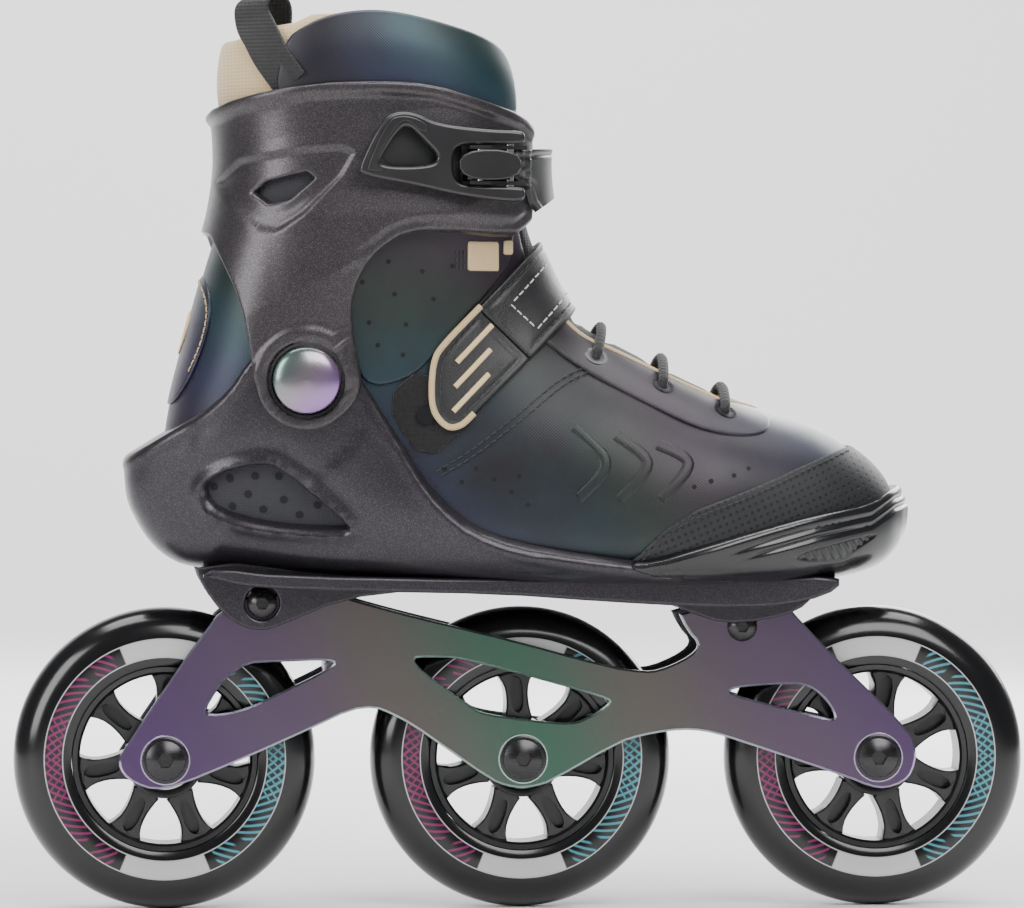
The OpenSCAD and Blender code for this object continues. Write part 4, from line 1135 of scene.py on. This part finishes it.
# Pearly caps over the pivots, with a dark ring.
CAP_Y = 50.2
for sign, tag, _ in SIDES:
    dome = [(0.01, 3.9), (4, 3.75), (7.5, 3.2), (10, 2.4), (11.5, 1.5), (12.1, 0.7), (12.1, 0), (0.01, 0)]
    replaced = ["cuff_pivot_caps"] if sign < 0 else []
    piece(f"pivot_cap_{tag}", lathe([(r, sign * (CAP_Y + 0.2 + h)) for r, h in dome], 96, *PIVOT), PEARL,
          "chassis", *replaced, slot="cap_pearl", angle=50)
    rim = [(12.3, 0.2), (12.6, 1.2), (13.6, 1.3), (14.0, 0.3), (14.0, -1.6), (12.3, -1.6)]
    piece(f"pivot_ring_{tag}", lathe([(r, sign * (CAP_Y - 0.2 + h)) for r, h in rim], 96, *PIVOT),
          DARK_STEEL, "cuff")


# ---- laces ----

LACE_ROWS, EYELET_ANGLE, LACE_R, LACE_UNDER = (5.52, 6.42, 7.6), 32, 1.8, -3.2


def lace_row(t, sign):
    """One row over the throat, from eyelet to eyelet, down into the padding at both ends."""
    rise = [(-EYELET_ANGLE, -3), (-EYELET_ANGLE, 0.4), (-28.5, 2.6), (-15, 2.9)]
    spots = [*rise, (0, 3.1), *((-a, d) for a, d in reversed(rise))]
    return [skin(t, sign * a, d)[0] for a, d in spots]


def lace_turn(t, sign):
    return skin(t, sign * EYELET_ANGLE, LACE_UNDER)[0]


lace_line = [lace_turn(LACE_ROWS[0] - 0.3, -1), *lace_row(LACE_ROWS[0], 1)]
lace_line += [lace_turn(sum(LACE_ROWS[:2]) / 2, 1), *lace_row(LACE_ROWS[1], -1)]
lace_line += [lace_turn(sum(LACE_ROWS[1:]) / 2, -1), *lace_row(LACE_ROWS[2], 1)]
lace_line += [lace_turn(LACE_ROWS[2] + 0.35, 1)]
lace_path = curve_through(lace_line, 0.45)


def braided_cord(path, up, r, strands=8, pitch=5.0, sides=24):
    """A round cord with a diamond braid standing out of it."""
    across, ups = frames_along(path, np.tile(up, (len(path), 1)))
    s = np.concatenate([[0], np.cumsum(np.linalg.norm(np.diff(path, axis=0), axis=1))])[:, None]
    turn = np.linspace(0, 2 * np.pi, sides, endpoint=False)[None]
    half = strands / 2
    lumps = np.cos(half * turn + 2 * np.pi * s / pitch) * np.cos(half * turn - 2 * np.pi * s / pitch)
    radius = (r * (1 + 0.09 * lumps))[..., None]
    out = np.cos(turn)[..., None] * across[:, None] + np.sin(turn)[..., None] * ups[:, None]
    return (path[:, None] + radius * out).reshape(-1, 3), tube_faces(len(path), sides)


piece("lace_cord", braided_cord(lace_path, (0.93, 0, -0.37), LACE_R), LACE, "chassis", "laces",
      slot="lace_cord", angle=80)


# ---- instep strap ----

STRAP = [(15, 251), (5.2, 241.1), (-16.7, 219.9), (-30.2, 205.5), (-34, 199), (-34.8, 188), (-33.5, 180),
         (-28.5, 175.8), (-24, 176.5), (-19, 181), (21.2, 219.9), (36, 234)]
STRAP_FAR = [(15, 251), (5.2, 241.1), (-16.7, 219.9), (-35.7, 200), (-42, 190), (-42, 176), (-33, 169),
             (-19, 181), (21.2, 219.9), (36, 234)]
HINGE, ALONG = np.array([-8.0, 210.0]), np.array([0.694, 0.72])


def past_fold(q):
    """How far a point lies past the fold, on the flap's side."""
    return -((q[:, 0] - HINGE[0]) * ALONG[0] + (q[:, 2] - HINGE[1]) * ALONG[1])


def strap_relief(q, f, t, a):
    """A pressed border inside the strap's edge."""
    return 0.25 * slope(f, 3.5, 4) - 0.45 * bell(f, 2.6, 0.7)


near, far = area(STRAP, 2), area(STRAP_FAR, 2)
held = lambda q: np.where(q[:, 1] < 0, np.minimum(near(q), -0.15 - past_fold(q)), far(q))
strap = panel("instep_strap_skin", held, STRAP_LEATHER, t=(6.5, 14), a=(-110, 130), grid=(120, 170),
              inner=1.3, outer=3.3, edge=0.9, relief=strap_relief)
on_body(strap, "chassis", "instep_strap", slot="strap_leather")
flap = panel("strap_flap_skin", both(near, side(-1), lambda q: past_fold(q) - 0.15), STRAP_LEATHER,
             t=(8, 12.5), a=(-130, -10), grid=(110, 130), inner=1.3, outer=3.3, edge=0.9,
             relief=strap_relief)
on_body(flap, "strap_flap", "strap_flap")
TRIM_LINE = [(-16.7, 219.4), (-29.6, 206.2), (-33.6, 199.5), (-34.6, 188), (-33.2, 180.8), (-28.8, 176.3),
             (-24, 176.9), (-19.4, 181)]
piece("strap_trim", cord_on(OUTER, TRIM_LINE, 2.9, ellipse(2.4, 2.2, 10), 1.0), BEIGE_TAPE, "strap_flap")
for k in range(3):
    x, z = -19.0 - 0.7 * k, 206 - 8.8 * k
    ends = [(x - 6.5, z - 6.7), (x, z), (x + 6.5, z + 6.7)]
    bar = cord_on(OUTER, ends, 3.5, ellipse(2.0, 1.5, 8), 1.5)
    piece(f"strap_bar_{k}", bar, BEIGE, "strap_flap", *(["strap_inlays"] if k == 0 else []),
          slot="beige_inlay")
box_rows = [[(9.5, 235.8), (-5.3, 220.4)], [(-5.3, 220.0), (4.1, 211.4)], [(4.5, 211.6), (19.5, 227.2)]]
box = joined([stitches_on(OUTER, row, 3.45, 1.9, 1.0, 0.3) for row in box_rows])
piece("strap_stitch_box", box, THREAD, "chassis")
strap_edges = [[(3.5, 236.5), (-6, 227), (-10, 222.8)], [(-0.5, 202.5), (19, 221.8)]]
flap_edge = [(-14, 218.7), (-27, 204.8), (-31, 198), (-31.6, 188), (-30.6, 182), (-27.5, 179),
             (-23, 180.5), (-8, 194.8)]
for name, rows, body in (("strap", strap_edges, "chassis"), ("flap", [flap_edge], "strap_flap")):
    seams = joined([stitches_on(OUTER, row, 3.1, 1.8, 1.0, 0.24) for row in rows])
    piece(f"{name}_edge_stitches", seams, DARK_THREAD, body)

ANCHOR = [(-52.3, 185.9), (-36.6, 198.9), (-19.9, 178.1), (-37.6, 162.4)]
anchor = panel("strap_anchor_pile", both(area(ANCHOR, 1), side(-1)), PILE, t=(8.2, 12.5), a=(-150, -40),
               grid=(90, 90), inner=0.15, outer=1.15, edge=0.5,
               relief=lambda q, f, t, a: 0.22 * np.sin(q[:, 0] * 4.1) * np.sin(q[:, 2] * 4.3))
on_body(anchor, "chassis", "strap_anchor", slot="loop_pile")
far_anchor = panel("strap_anchor_inner", both(area(ANCHOR, 1), side(1)), PILE, t=(8.2, 12.5), a=(40, 150),
                   grid=(60, 60), inner=0.15, outer=0.95, edge=0.5)
on_body(far_anchor, "chassis", slot="loop_pile")


# ---- tongue tabs, pull loop ----

def beige_tab(name, x0, x1, z0, z1):
    """A plain square of tape sewn on the outer side."""
    square = lambda q: np.minimum.reduce([q[:, 0] - x0, x1 - q[:, 0], q[:, 2] - z0, z1 - q[:, 2], -q[:, 1]])
    over_ankle(panel(name, square, BEIGE_TAPE, t=(9, 17), a=(-120, -10), grid=(90, 110), inner=1.25,
                     outer=1.95, edge=0.4))


beige_tab("tongue_tab", -21, -9.5, 232.5, 243)
beige_tab("tongue_tab_small", -7.5, -4.0, 238.5, 243.5)
tab_rows = [[(x, 233), (x, 241)] for x in (-25.5, -24.1, -22.7)]
tab_seams = joined([stitches_on(OUTER, row, 1.4, 1.6, 0.8, 0.25) for row in tab_rows])
over_ankle(mesh_object("tongue_tab_stitches", *tab_seams, DARK_THREAD))

loop_places = [(17.5, 2.5, 14), (18, 2.5, 6), (18.5, 2.5, -2), (18.95, 2.5, -8.5)]
loop_line = [skin(t, -128 + turn, d)[0] for t, d, turn in loop_places]
loop_line += [skin(19, -138, 1.5)[0] + [0, 0, 5], skin(19, -138, -3)[0] + [0, 0, 8],
              skin(19, -138, -8)[0] + [0, 0, 5]]
loop_line += [skin(t, -138, -8.9)[0] for t in (18.9, 18.4)]
loop_path = curve_through(loop_line, 1.0)
loop_across = skin(18.5, -143, 0)[0] - skin(18.5, -113, 0)[0]
loop_across /= np.linalg.norm(loop_across)
loop_ups = np.cross(np.gradient(loop_path, axis=0), loop_across)
# The webbing's edges are a little thicker than its middle.
edge = [(6.2, -0.65), (6.6, -0.8), (6.9, -0.8), (7.2, -0.45)]
lower = [(-x, y) for x, y in reversed(edge)] + edge
band = lower + [(-x, -y) for x, y in lower]
piece("pull_loop_web", swept(loop_path, loop_ups, band), WEBBING, "cuff", "pull_loop", slot="webbing")


# ---- buckle: everything here is placed in the buckle's own frame, X forward, Y up, Z outward ----

BUCKLE_POS, BUCKLE_TURN = np.array([-7, -46.8, 268.0]), math.radians(9.5)


def at_buckle(p):
    """A point in millimetres from the buckle's frame."""
    x, y, z = p
    c, s = math.cos(BUCKLE_TURN), math.sin(BUCKLE_TURN)
    return BUCKLE_POS + np.array([x * c + z * s, x * s - z * c, y])


def lever_place(p):
    """From plate space in metres: X forward, Y depth, Z up."""
    return at_buckle((p[0] / MM, p[2] / MM, p[1] / MM)) * MM


LEVER = [(-56, 1.5), (-55, -2), (-37, -5), (-19.5, -8.9), (-3, -11), (3.4, -11), (5, -9.5), (5, -7),
         (3.6, -5.6), (-17, -5.4), (-20.6, -3.4), (-21.5, 0), (-21.5, 5), (-20.6, 8), (-17, 9.4),
         (3.6, 9.4), (5, 10.8), (5, 13), (3.6, 14.4), (-10, 14.8), (-27.3, 16.7), (-34.5, 20.3),
         (-41.1, 21.3), (-47, 18.8)]
FINGER_HOLE = [(-49, 3), (-43.5, 11.5), (-39.8, 15.9), (-36.6, 15.2), (-31, 9.6), (-27.4, 6),
               (-27.2, 3.6), (-30, 1.9), (-39, 1.2), (-46.5, 1.6)]
lever = plate("buckle_lever_frame", [rounded(LEVER, 2), rounded(FINGER_HOLE, 2)], 0.4, 4.2, 1.1, BUCKLE,
              steps=4, place=lever_place)
on_body(lever, "buckle_lever", "buckle_lever", slot="buckle_plastic")
GRIP = [(-53.5, 0.8), (-45.8, 17.4), (-41.4, 19.6), (-35.4, 18.8), (-30, 15.6), (-32.5, 12.8),
        (-38, 17.6), (-40.9, 17.4), (-45, 12.2), (-50.6, 2.6), (-46, -0.4), (-52, -0.4)]
grip = plate("buckle_lever_rim", [rounded(GRIP, 2)], 3.9, 4.8, 0.35, BUCKLE, place=lever_place)
on_body(grip, "buckle_lever")
EYE = [(1.5, -1.6), (3.4, -1.6), (3.6, -1.3), (3.6, 1.3), (3.4, 1.6), (1.5, 1.6)]
for tag, y in (("low", -8.6), ("high", 12.0)):
    pts, faces = lathe([(r, y + h) for r, h in EYE], 40, 0, 0.2)
    piece(f"buckle_lever_eye_{tag}", (np.array([at_buckle(p) for p in pts]), faces), BUCKLE, "buckle_lever")

# A cover over the pawl fills the fork, between the base's cheeks, and lifts with the pawl.
COVER = rounded([(-20, -3.4), (2.5, -3.4), (2.5, 7.4), (-20, 7.4)], 2)
on_body(plate("release_cover", [COVER], 6.4, 7.9, 0.5, BUCKLE, place=lever_place), "release_tab",
        slot="release_plastic")

# A black sheet on the cuff under the lever's finger hole is painted shade: it darkens the hollow seen through
# the hole.
FINGER_SHADE = [(-57, 269.5), (-47.5, 287), (-40, 284), (-31.5, 276), (-32, 269)]
shade = panel("finger_hole_painted_shade", both(area(FINGER_SHADE, 1), side(-1)), BLACK, t=(13, 18.4), a=(-150, -40),
              grid=(80, 90), inner=bulged(cuff_grow, 2.5), outer=bulged(cuff_grow, 3.9), edge=0.5)
on_body(shade, "cuff")

LADDER = [(-19, 265), (0, 265), (4, 254), (12, 251.5), (25, 251.5), (25, 278), (4, 276.7), (0, 275.4),
          (-19, 275.4)]
ladder_far = area([(x - 9, z) for x, z in LADDER], 1)
ladder_near = area(LADDER, 1)


def ladder_relief(q, f, t, a):
    """A groove inside the edge, and teeth across the part of the strap that passes through the buckle."""
    toothed = (q[:, 1] < 0) & (q[:, 0] < 2)
    return np.where(toothed, 0.5 * (np.sin(q[:, 0] * 2.4) > 0), 0.0) - 0.4 * bell(f, 2.4, 0.6)


ladder = panel("ladder_strap_skin", lambda q: np.where(q[:, 1] < 0, ladder_near(q), ladder_far(q)),
               LADDER_PLASTIC, t=(12.5, 17), a=(-100, 100), grid=(90, 260), inner=10.7, outer=12.7,
               edge=0.7, relief=ladder_relief)
on_body(ladder, "cuff", "ladder_strap", slot="ladder_plastic")


# ---- frame ----

FRAME_SIDE = [(-141, 46.5), (-134, 44.2), (-125.4, 45.6), (-101, 55.6), (-77.4, 66.1), (-62.8, 73),
              (-54, 73.9), (-48, 71.5), (-40.5, 67.5), (-30.4, 60.4), (-11.9, 47.4), (-6, 45), (0, 44.3),
              (5, 45), (9.9, 46.5), (35.1, 60.8), (43.6, 63.3), (53.6, 65), (62, 65.3), (70, 64),
              (80, 60.8), (118.4, 47.8), (127, 44.3), (132.9, 43.5), (139.5, 45.9), (142.7, 49.6),
              (144.3, 56.8), (141.8, 64.8), (112.2, 93.5), (100.6, 106), (98, 109), (92, 109.6),
              (56, 109.6), (60, 101.5), (64, 97), (63, 94), (58, 90.6), (49.7, 87.2), (44.1, 86.7),
              (31.7, 88.5), (-3.5, 98.2), (-26.2, 103.7), (-44.7, 108.3), (-61.5, 113), (-66, 114.5),
              (-80, 115), (-98, 115), (-105.5, 112), (-113.2, 106), (-146, 58), (-147, 54), (-145.5, 50)]
FRAME_WINDOWS = [
    [(-117.2, 71.9), (-104.1, 89.9), (-88, 90.6), (-69.4, 91.2), (-68.6, 89), (-88.4, 79.4), (-100.5, 73.7),
     (-110.1, 71.6)],
    [(-43, 91.7), (-32.1, 92.1), (-22, 91.5), (4, 84.4), (30.9, 76.8), (31.7, 75), (21.7, 68.8), (15, 67.9),
     (0, 69.5), (-15.3, 71.7), (-19.6, 74.7)],
    [(74.5, 79.2), (80, 81), (97.9, 82), (105, 81), (111.3, 75.6), (114.5, 69.4), (112.2, 69), (80, 77.2)],
]
FRAME_BRIDGES = {
    "rear": [(-72, 76), (-59, 76), (-59, 97), (-72, 94)],
    "front": [(58, 72), (70, 72), (70, 94), (58, 86)],
}
WALL_IN, WALL_OUT = 15.0, 18.2
AXLE_RING = [(7.1, -0.1), (7.3, 0.25), (8.2, 0.25), (8.5, 0.0), (8.5, -0.6), (7.1, -0.6)]
AXLE_RIM = [(8.4, -0.1), (8.55, 0.12), (9.0, 0.12), (9.2, -0.1), (9.2, -0.4), (8.4, -0.4)]
AXLE_BOSS = [(4.05, -2.9), (6, -2.9), (6, -6.1), (4.05, -6.1)]
wall = [rounded(FRAME_SIDE, 1)] + [rounded(w, 2) for w in FRAME_WINDOWS]
for sign, tag, _ in SIDES:
    low, high = sorted((sign * WALL_IN, sign * WALL_OUT))
    walls = plate(f"frame_wall_{tag}", wall, low, high, 0.75, FRAME, steps=1)
    walls.data.materials.append(FRAME_EDGE)
    for face in walls.data.polygons:
        if abs(face.normal.y) < 0.97:
            face.material_index = 1
    walls.data.set_sharp_from_angle(angle=math.radians(20))
    on_body(walls, "chassis", *(["frame"] if sign < 0 else []), slot="frame_anodised")
    # Each axle has a turned recess, a polished rim round it and a boss inside the wall.
    for kind, profile, sides, metal_used in (("ring", AXLE_RING, 72, DARK_STEEL),
                                             ("rim", AXLE_RIM, 72, FRAME_EDGE),
                                             ("boss", AXLE_BOSS, 48, FRAME)):
        turned = [(r, sign * (WALL_OUT + h)) for r, h in profile]
        for name, x in WHEELS.items():
            piece(f"axle_{kind}_{name}_{tag}", lathe(turned, sides, x, AXLE_Z), metal_used, "chassis")
for name, outline in FRAME_BRIDGES.items():
    on_body(plate(f"frame_bridge_{name}", [rounded(outline, 1)], -15.4, 15.4, 0.6, FRAME), "chassis")


# ---- wheels: each is built round its own axle, so that its material sees the wheel's own coordinates ----

def wheel_piece(name, geometry, material, wheel, node, slot):
    """A piece of a wheel, modelled round the origin and set on its axle."""
    obj = mesh_object(name, *geometry, material, 35)
    obj.location = (WHEELS[wheel] * MM, 0, AXLE_Z * MM)
    return on_body(obj, f"{wheel}_wheel", node, slot=slot)


def tyre_profile():
    """Half-round tread, flat sides with a step down to the core."""
    turns = np.linspace(-math.pi / 2, math.pi / 2, 25)
    round_part = [(43 + 12 * math.cos(turn), 12 * math.sin(turn)) for turn in turns]
    side_high = [(39, 11.95), (36.2, 11.6), (34.6, 11.3), (33.9, 10.9)]
    side_low = [(r, -y) for r, y in reversed(side_high)]
    return side_low + round_part + side_high


SPOKE_EDGE = [(13, 5.4), (17, 4.4), (22, 3.9), (27, 4.5), (31.2, 7)]
SPOKE_MID, SLOT_DEPTH = 22, 6


def spoke(phase, half=9.4, chamfer=0.7):
    """A waisted spoke with a slot sunk in each face."""
    outline = rounded([(r, -w) for r, w in SPOKE_EDGE] + SPOKE_EDGE[::-1], 1)
    slot = rounded([(16.5, -2.1), (29.5, -2.6), (29.5, 2.6), (16.5, 2.1)], 2)
    parts = []
    c, s = math.cos(phase), math.sin(phase)
    n, m = len(outline), len(slot)

    def angle_of(p):
        return math.atan2(p[2], (p[0] - SPOKE_MID) * 0.4)

    for sign in (-1, 1):
        # Rings of the side wall: at the middle plane, under the chamfer and at the top face.
        rings = []
        away = (outline - [SPOKE_MID, 0]) * [0.35, 1]
        away /= np.linalg.norm(away, axis=1)[:, None]
        for y, shrink in ((0, 0), (half - chamfer, 0), (half, chamfer)):
            rings.append([(q[0], sign * y, q[1]) for q in outline - away * shrink])
        pts = [p for ring in rings for p in ring]
        faces = [
            (r * n + i, r * n + (i + 1) % n, (r + 1) * n + (i + 1) % n, (r + 1) * n + i)
            for r in (0, 1) for i in range(n)
        ]
        base = len(pts)
        pts += [(q[0], sign * half, q[1]) for q in slot]
        pts += [(q[0], sign * (half - SLOT_DEPTH), q[1]) for q in slot]
        top = [np.array(p) for p in rings[2]]
        inner = [np.array(p) for p in pts[base:base + m]]
        # Bridge the top face between the outline and the slot by walking both round.
        i = j = 0
        order_o = sorted(range(n), key=lambda k: angle_of(top[k]))
        order_s = sorted(range(m), key=lambda k: angle_of(inner[k]))
        while i < n or j < m:
            a0 = angle_of(top[order_o[i % n]]) + (2 * math.pi if i >= n else 0)
            b0 = angle_of(inner[order_s[j % m]]) + (2 * math.pi if j >= m else 0)
            if j >= m or (i < n and a0 <= b0):
                faces.append((2 * n + order_o[i % n], 2 * n + order_o[(i + 1) % n], base + order_s[j % m]))
                i += 1
            else:
                faces.append((2 * n + order_o[i % n], base + order_s[(j + 1) % m], base + order_s[j % m]))
                j += 1
        faces += [(base + k, base + (k + 1) % m, base + m + (k + 1) % m, base + m + k) for k in range(m)]
        faces.append(tuple(base + m + k for k in range(m)))
        turned = [(x * c - z * s, y, x * s + z * c) for x, y, z in pts]
        parts.append((np.array(turned), faces))
    return joined(parts)


RIM_HALF = [(30.9, -9.6), (31.8, -10.8), (33.5, -10.9), (33.8, -10.4)]
HUB_HALF = [(8.7, -4.8), (11.1, -4.8), (11.1, -11.3), (12.2, -11.9), (13.4, -11.9), (14.2, -11.2), (14.4, -9)]
RIM, HUB = (half + [(r, -y) for r, y in reversed(half)] for half in (RIM_HALF, HUB_HALF))
SPOKES, SPOKE_PHASE = 7, {"rear": 87, "middle": 94, "front": 81}
for wheel, phase in SPOKE_PHASE.items():
    rubber = tyre_rubber(f"tyre_rubber_{wheel}")
    wheel_piece(f"{wheel}_tyre_rubber", lathe(tyre_profile(), 180), rubber, wheel, f"{wheel}_tyre",
                "urethane")
    spokes = [spoke(math.radians(phase + 360 * k / SPOKES)) for k in range(SPOKES)]
    core = joined([lathe(RIM, 128), lathe(HUB, 96), *spokes])
    wheel_piece(f"{wheel}_core", core, HUB_PLASTIC, wheel, f"{wheel}_hub", "hub_plastic")


# ---- CAD pieces that are shown as they are ----

CARRIED = {"eyelets": DARK_STEEL, "strap_rivets": BUMPER_GLOSS, "wheel_axles": STEEL,
           "axle_bolts": DARK_STEEL, "mount_bolts": DARK_STEEL, "mount_nuts": STEEL,
           "bearing_spacers": STEEL, "bearing_inner_races": STEEL, "cuff_pivot_bolts": DARK_STEEL,
           "cuff_pivot_bushes": BLACK, "buckle_base": LADDER_PLASTIC, "buckle_pin": STEEL,
           "release_tab": BUCKLE, "release_pin": STEEL, "release_spring": BALL_STEEL,
           "ladder_rivet": STEEL}
for wheel in WHEELS:
    CARRIED |= {f"{wheel}_outer_races": STEEL, f"{wheel}_balls": BALL_STEEL, f"{wheel}_shields": DARK_STEEL}
for name, material in CARRIED.items():
    node = bpy.data.objects[name]
    node.data.materials.clear()
    node.data.materials.append(material)


# ---- camera, lights and floor ----

def area_light(name, place, aim, size, watts, color=(1, 1, 1)):
    light = bpy.data.lights.new(name, "AREA")
    light.shape, light.size, light.size_y = "RECTANGLE", *size
    light.energy, light.color = watts, color
    obj = bpy.data.objects.new(name, light)
    obj.location = place
    obj.rotation_euler = (Vector(aim) - Vector(place)).to_track_quat("-Z", "Y").to_euler()
    bpy.context.scene.collection.objects.link(obj)


SKATE = (0, 0, 0.17)
area_light("key", (0.5, -1.3, 1.3), SKATE, (1.2, 0.9), 27)
area_light("side", (-1.4, -0.9, 0.8), SKATE, (0.7, 1.2), 22)
area_light("overhead", (0.0, 0.1, 1.5), SKATE, (1.6, 0.8), 30)
area_light("behind", (0.7, 1.3, 0.8), SKATE, (1.2, 0.8), 20)
area_light("backdrop", (0, 1.0, 1.6), (0, 3.2, 0.4), (3.0, 0.8), 110)

world = bpy.data.worlds.new("studio")
bpy.context.scene.world = world
world.use_nodes = True
world.node_tree.nodes["Background"].inputs["Color"].default_value = (0.9, 0.92, 0.95, 1)
world.node_tree.nodes["Background"].inputs["Strength"].default_value = 0.2

floor_tone = Nodes("floor_paper")
floor_cloud = floor_tone.noise(3, 2)
floor_tone.surface(color=floor_tone.mix(floor_cloud, grey(0.84), grey(0.86)), rough=0.8)
reach, rise, bend, bend_start = 6.0, 3.0, 0.8, 2.4
bend_line = [(bend_start + bend * math.sin(a), bend - bend * math.cos(a))
             for a in np.linspace(0, math.pi / 2, 13)]
sweep_line = [(-reach, 0), *bend_line, (bend_start + bend, rise)]
floor_points = [(x / MM, y / MM, z / MM) for y, z in sweep_line for x in (-reach, reach)]
floor_faces = [(2 * i, 2 * i + 1, 2 * i + 3, 2 * i + 2) for i in range(len(sweep_line) - 1)]
floor = mesh_object("floor", floor_points, floor_faces, floor_tone.material, 60)

PHOTO_TURN, PHOTO_RISE, FAR, FRAME_WIDTH = math.radians(-4), math.radians(1), 2.5, 0.3748
aim = Vector((-0.0028, 0, 0.1656))
camera_data = bpy.data.cameras.new("photo_camera")
camera_data.sensor_width = 36
camera_data.lens = 36 * FAR / FRAME_WIDTH
camera = bpy.data.objects.new("photo_camera", camera_data)
flat = math.cos(PHOTO_RISE)
camera.location = aim + FAR * Vector((math.sin(PHOTO_TURN) * flat, -math.cos(PHOTO_TURN) * flat,
                                      math.sin(PHOTO_RISE)))
camera.rotation_euler = (aim - camera.location).to_track_quat("-Z", "Y").to_euler()
bpy.context.scene.collection.objects.link(camera)
bpy.context.scene.camera = camera
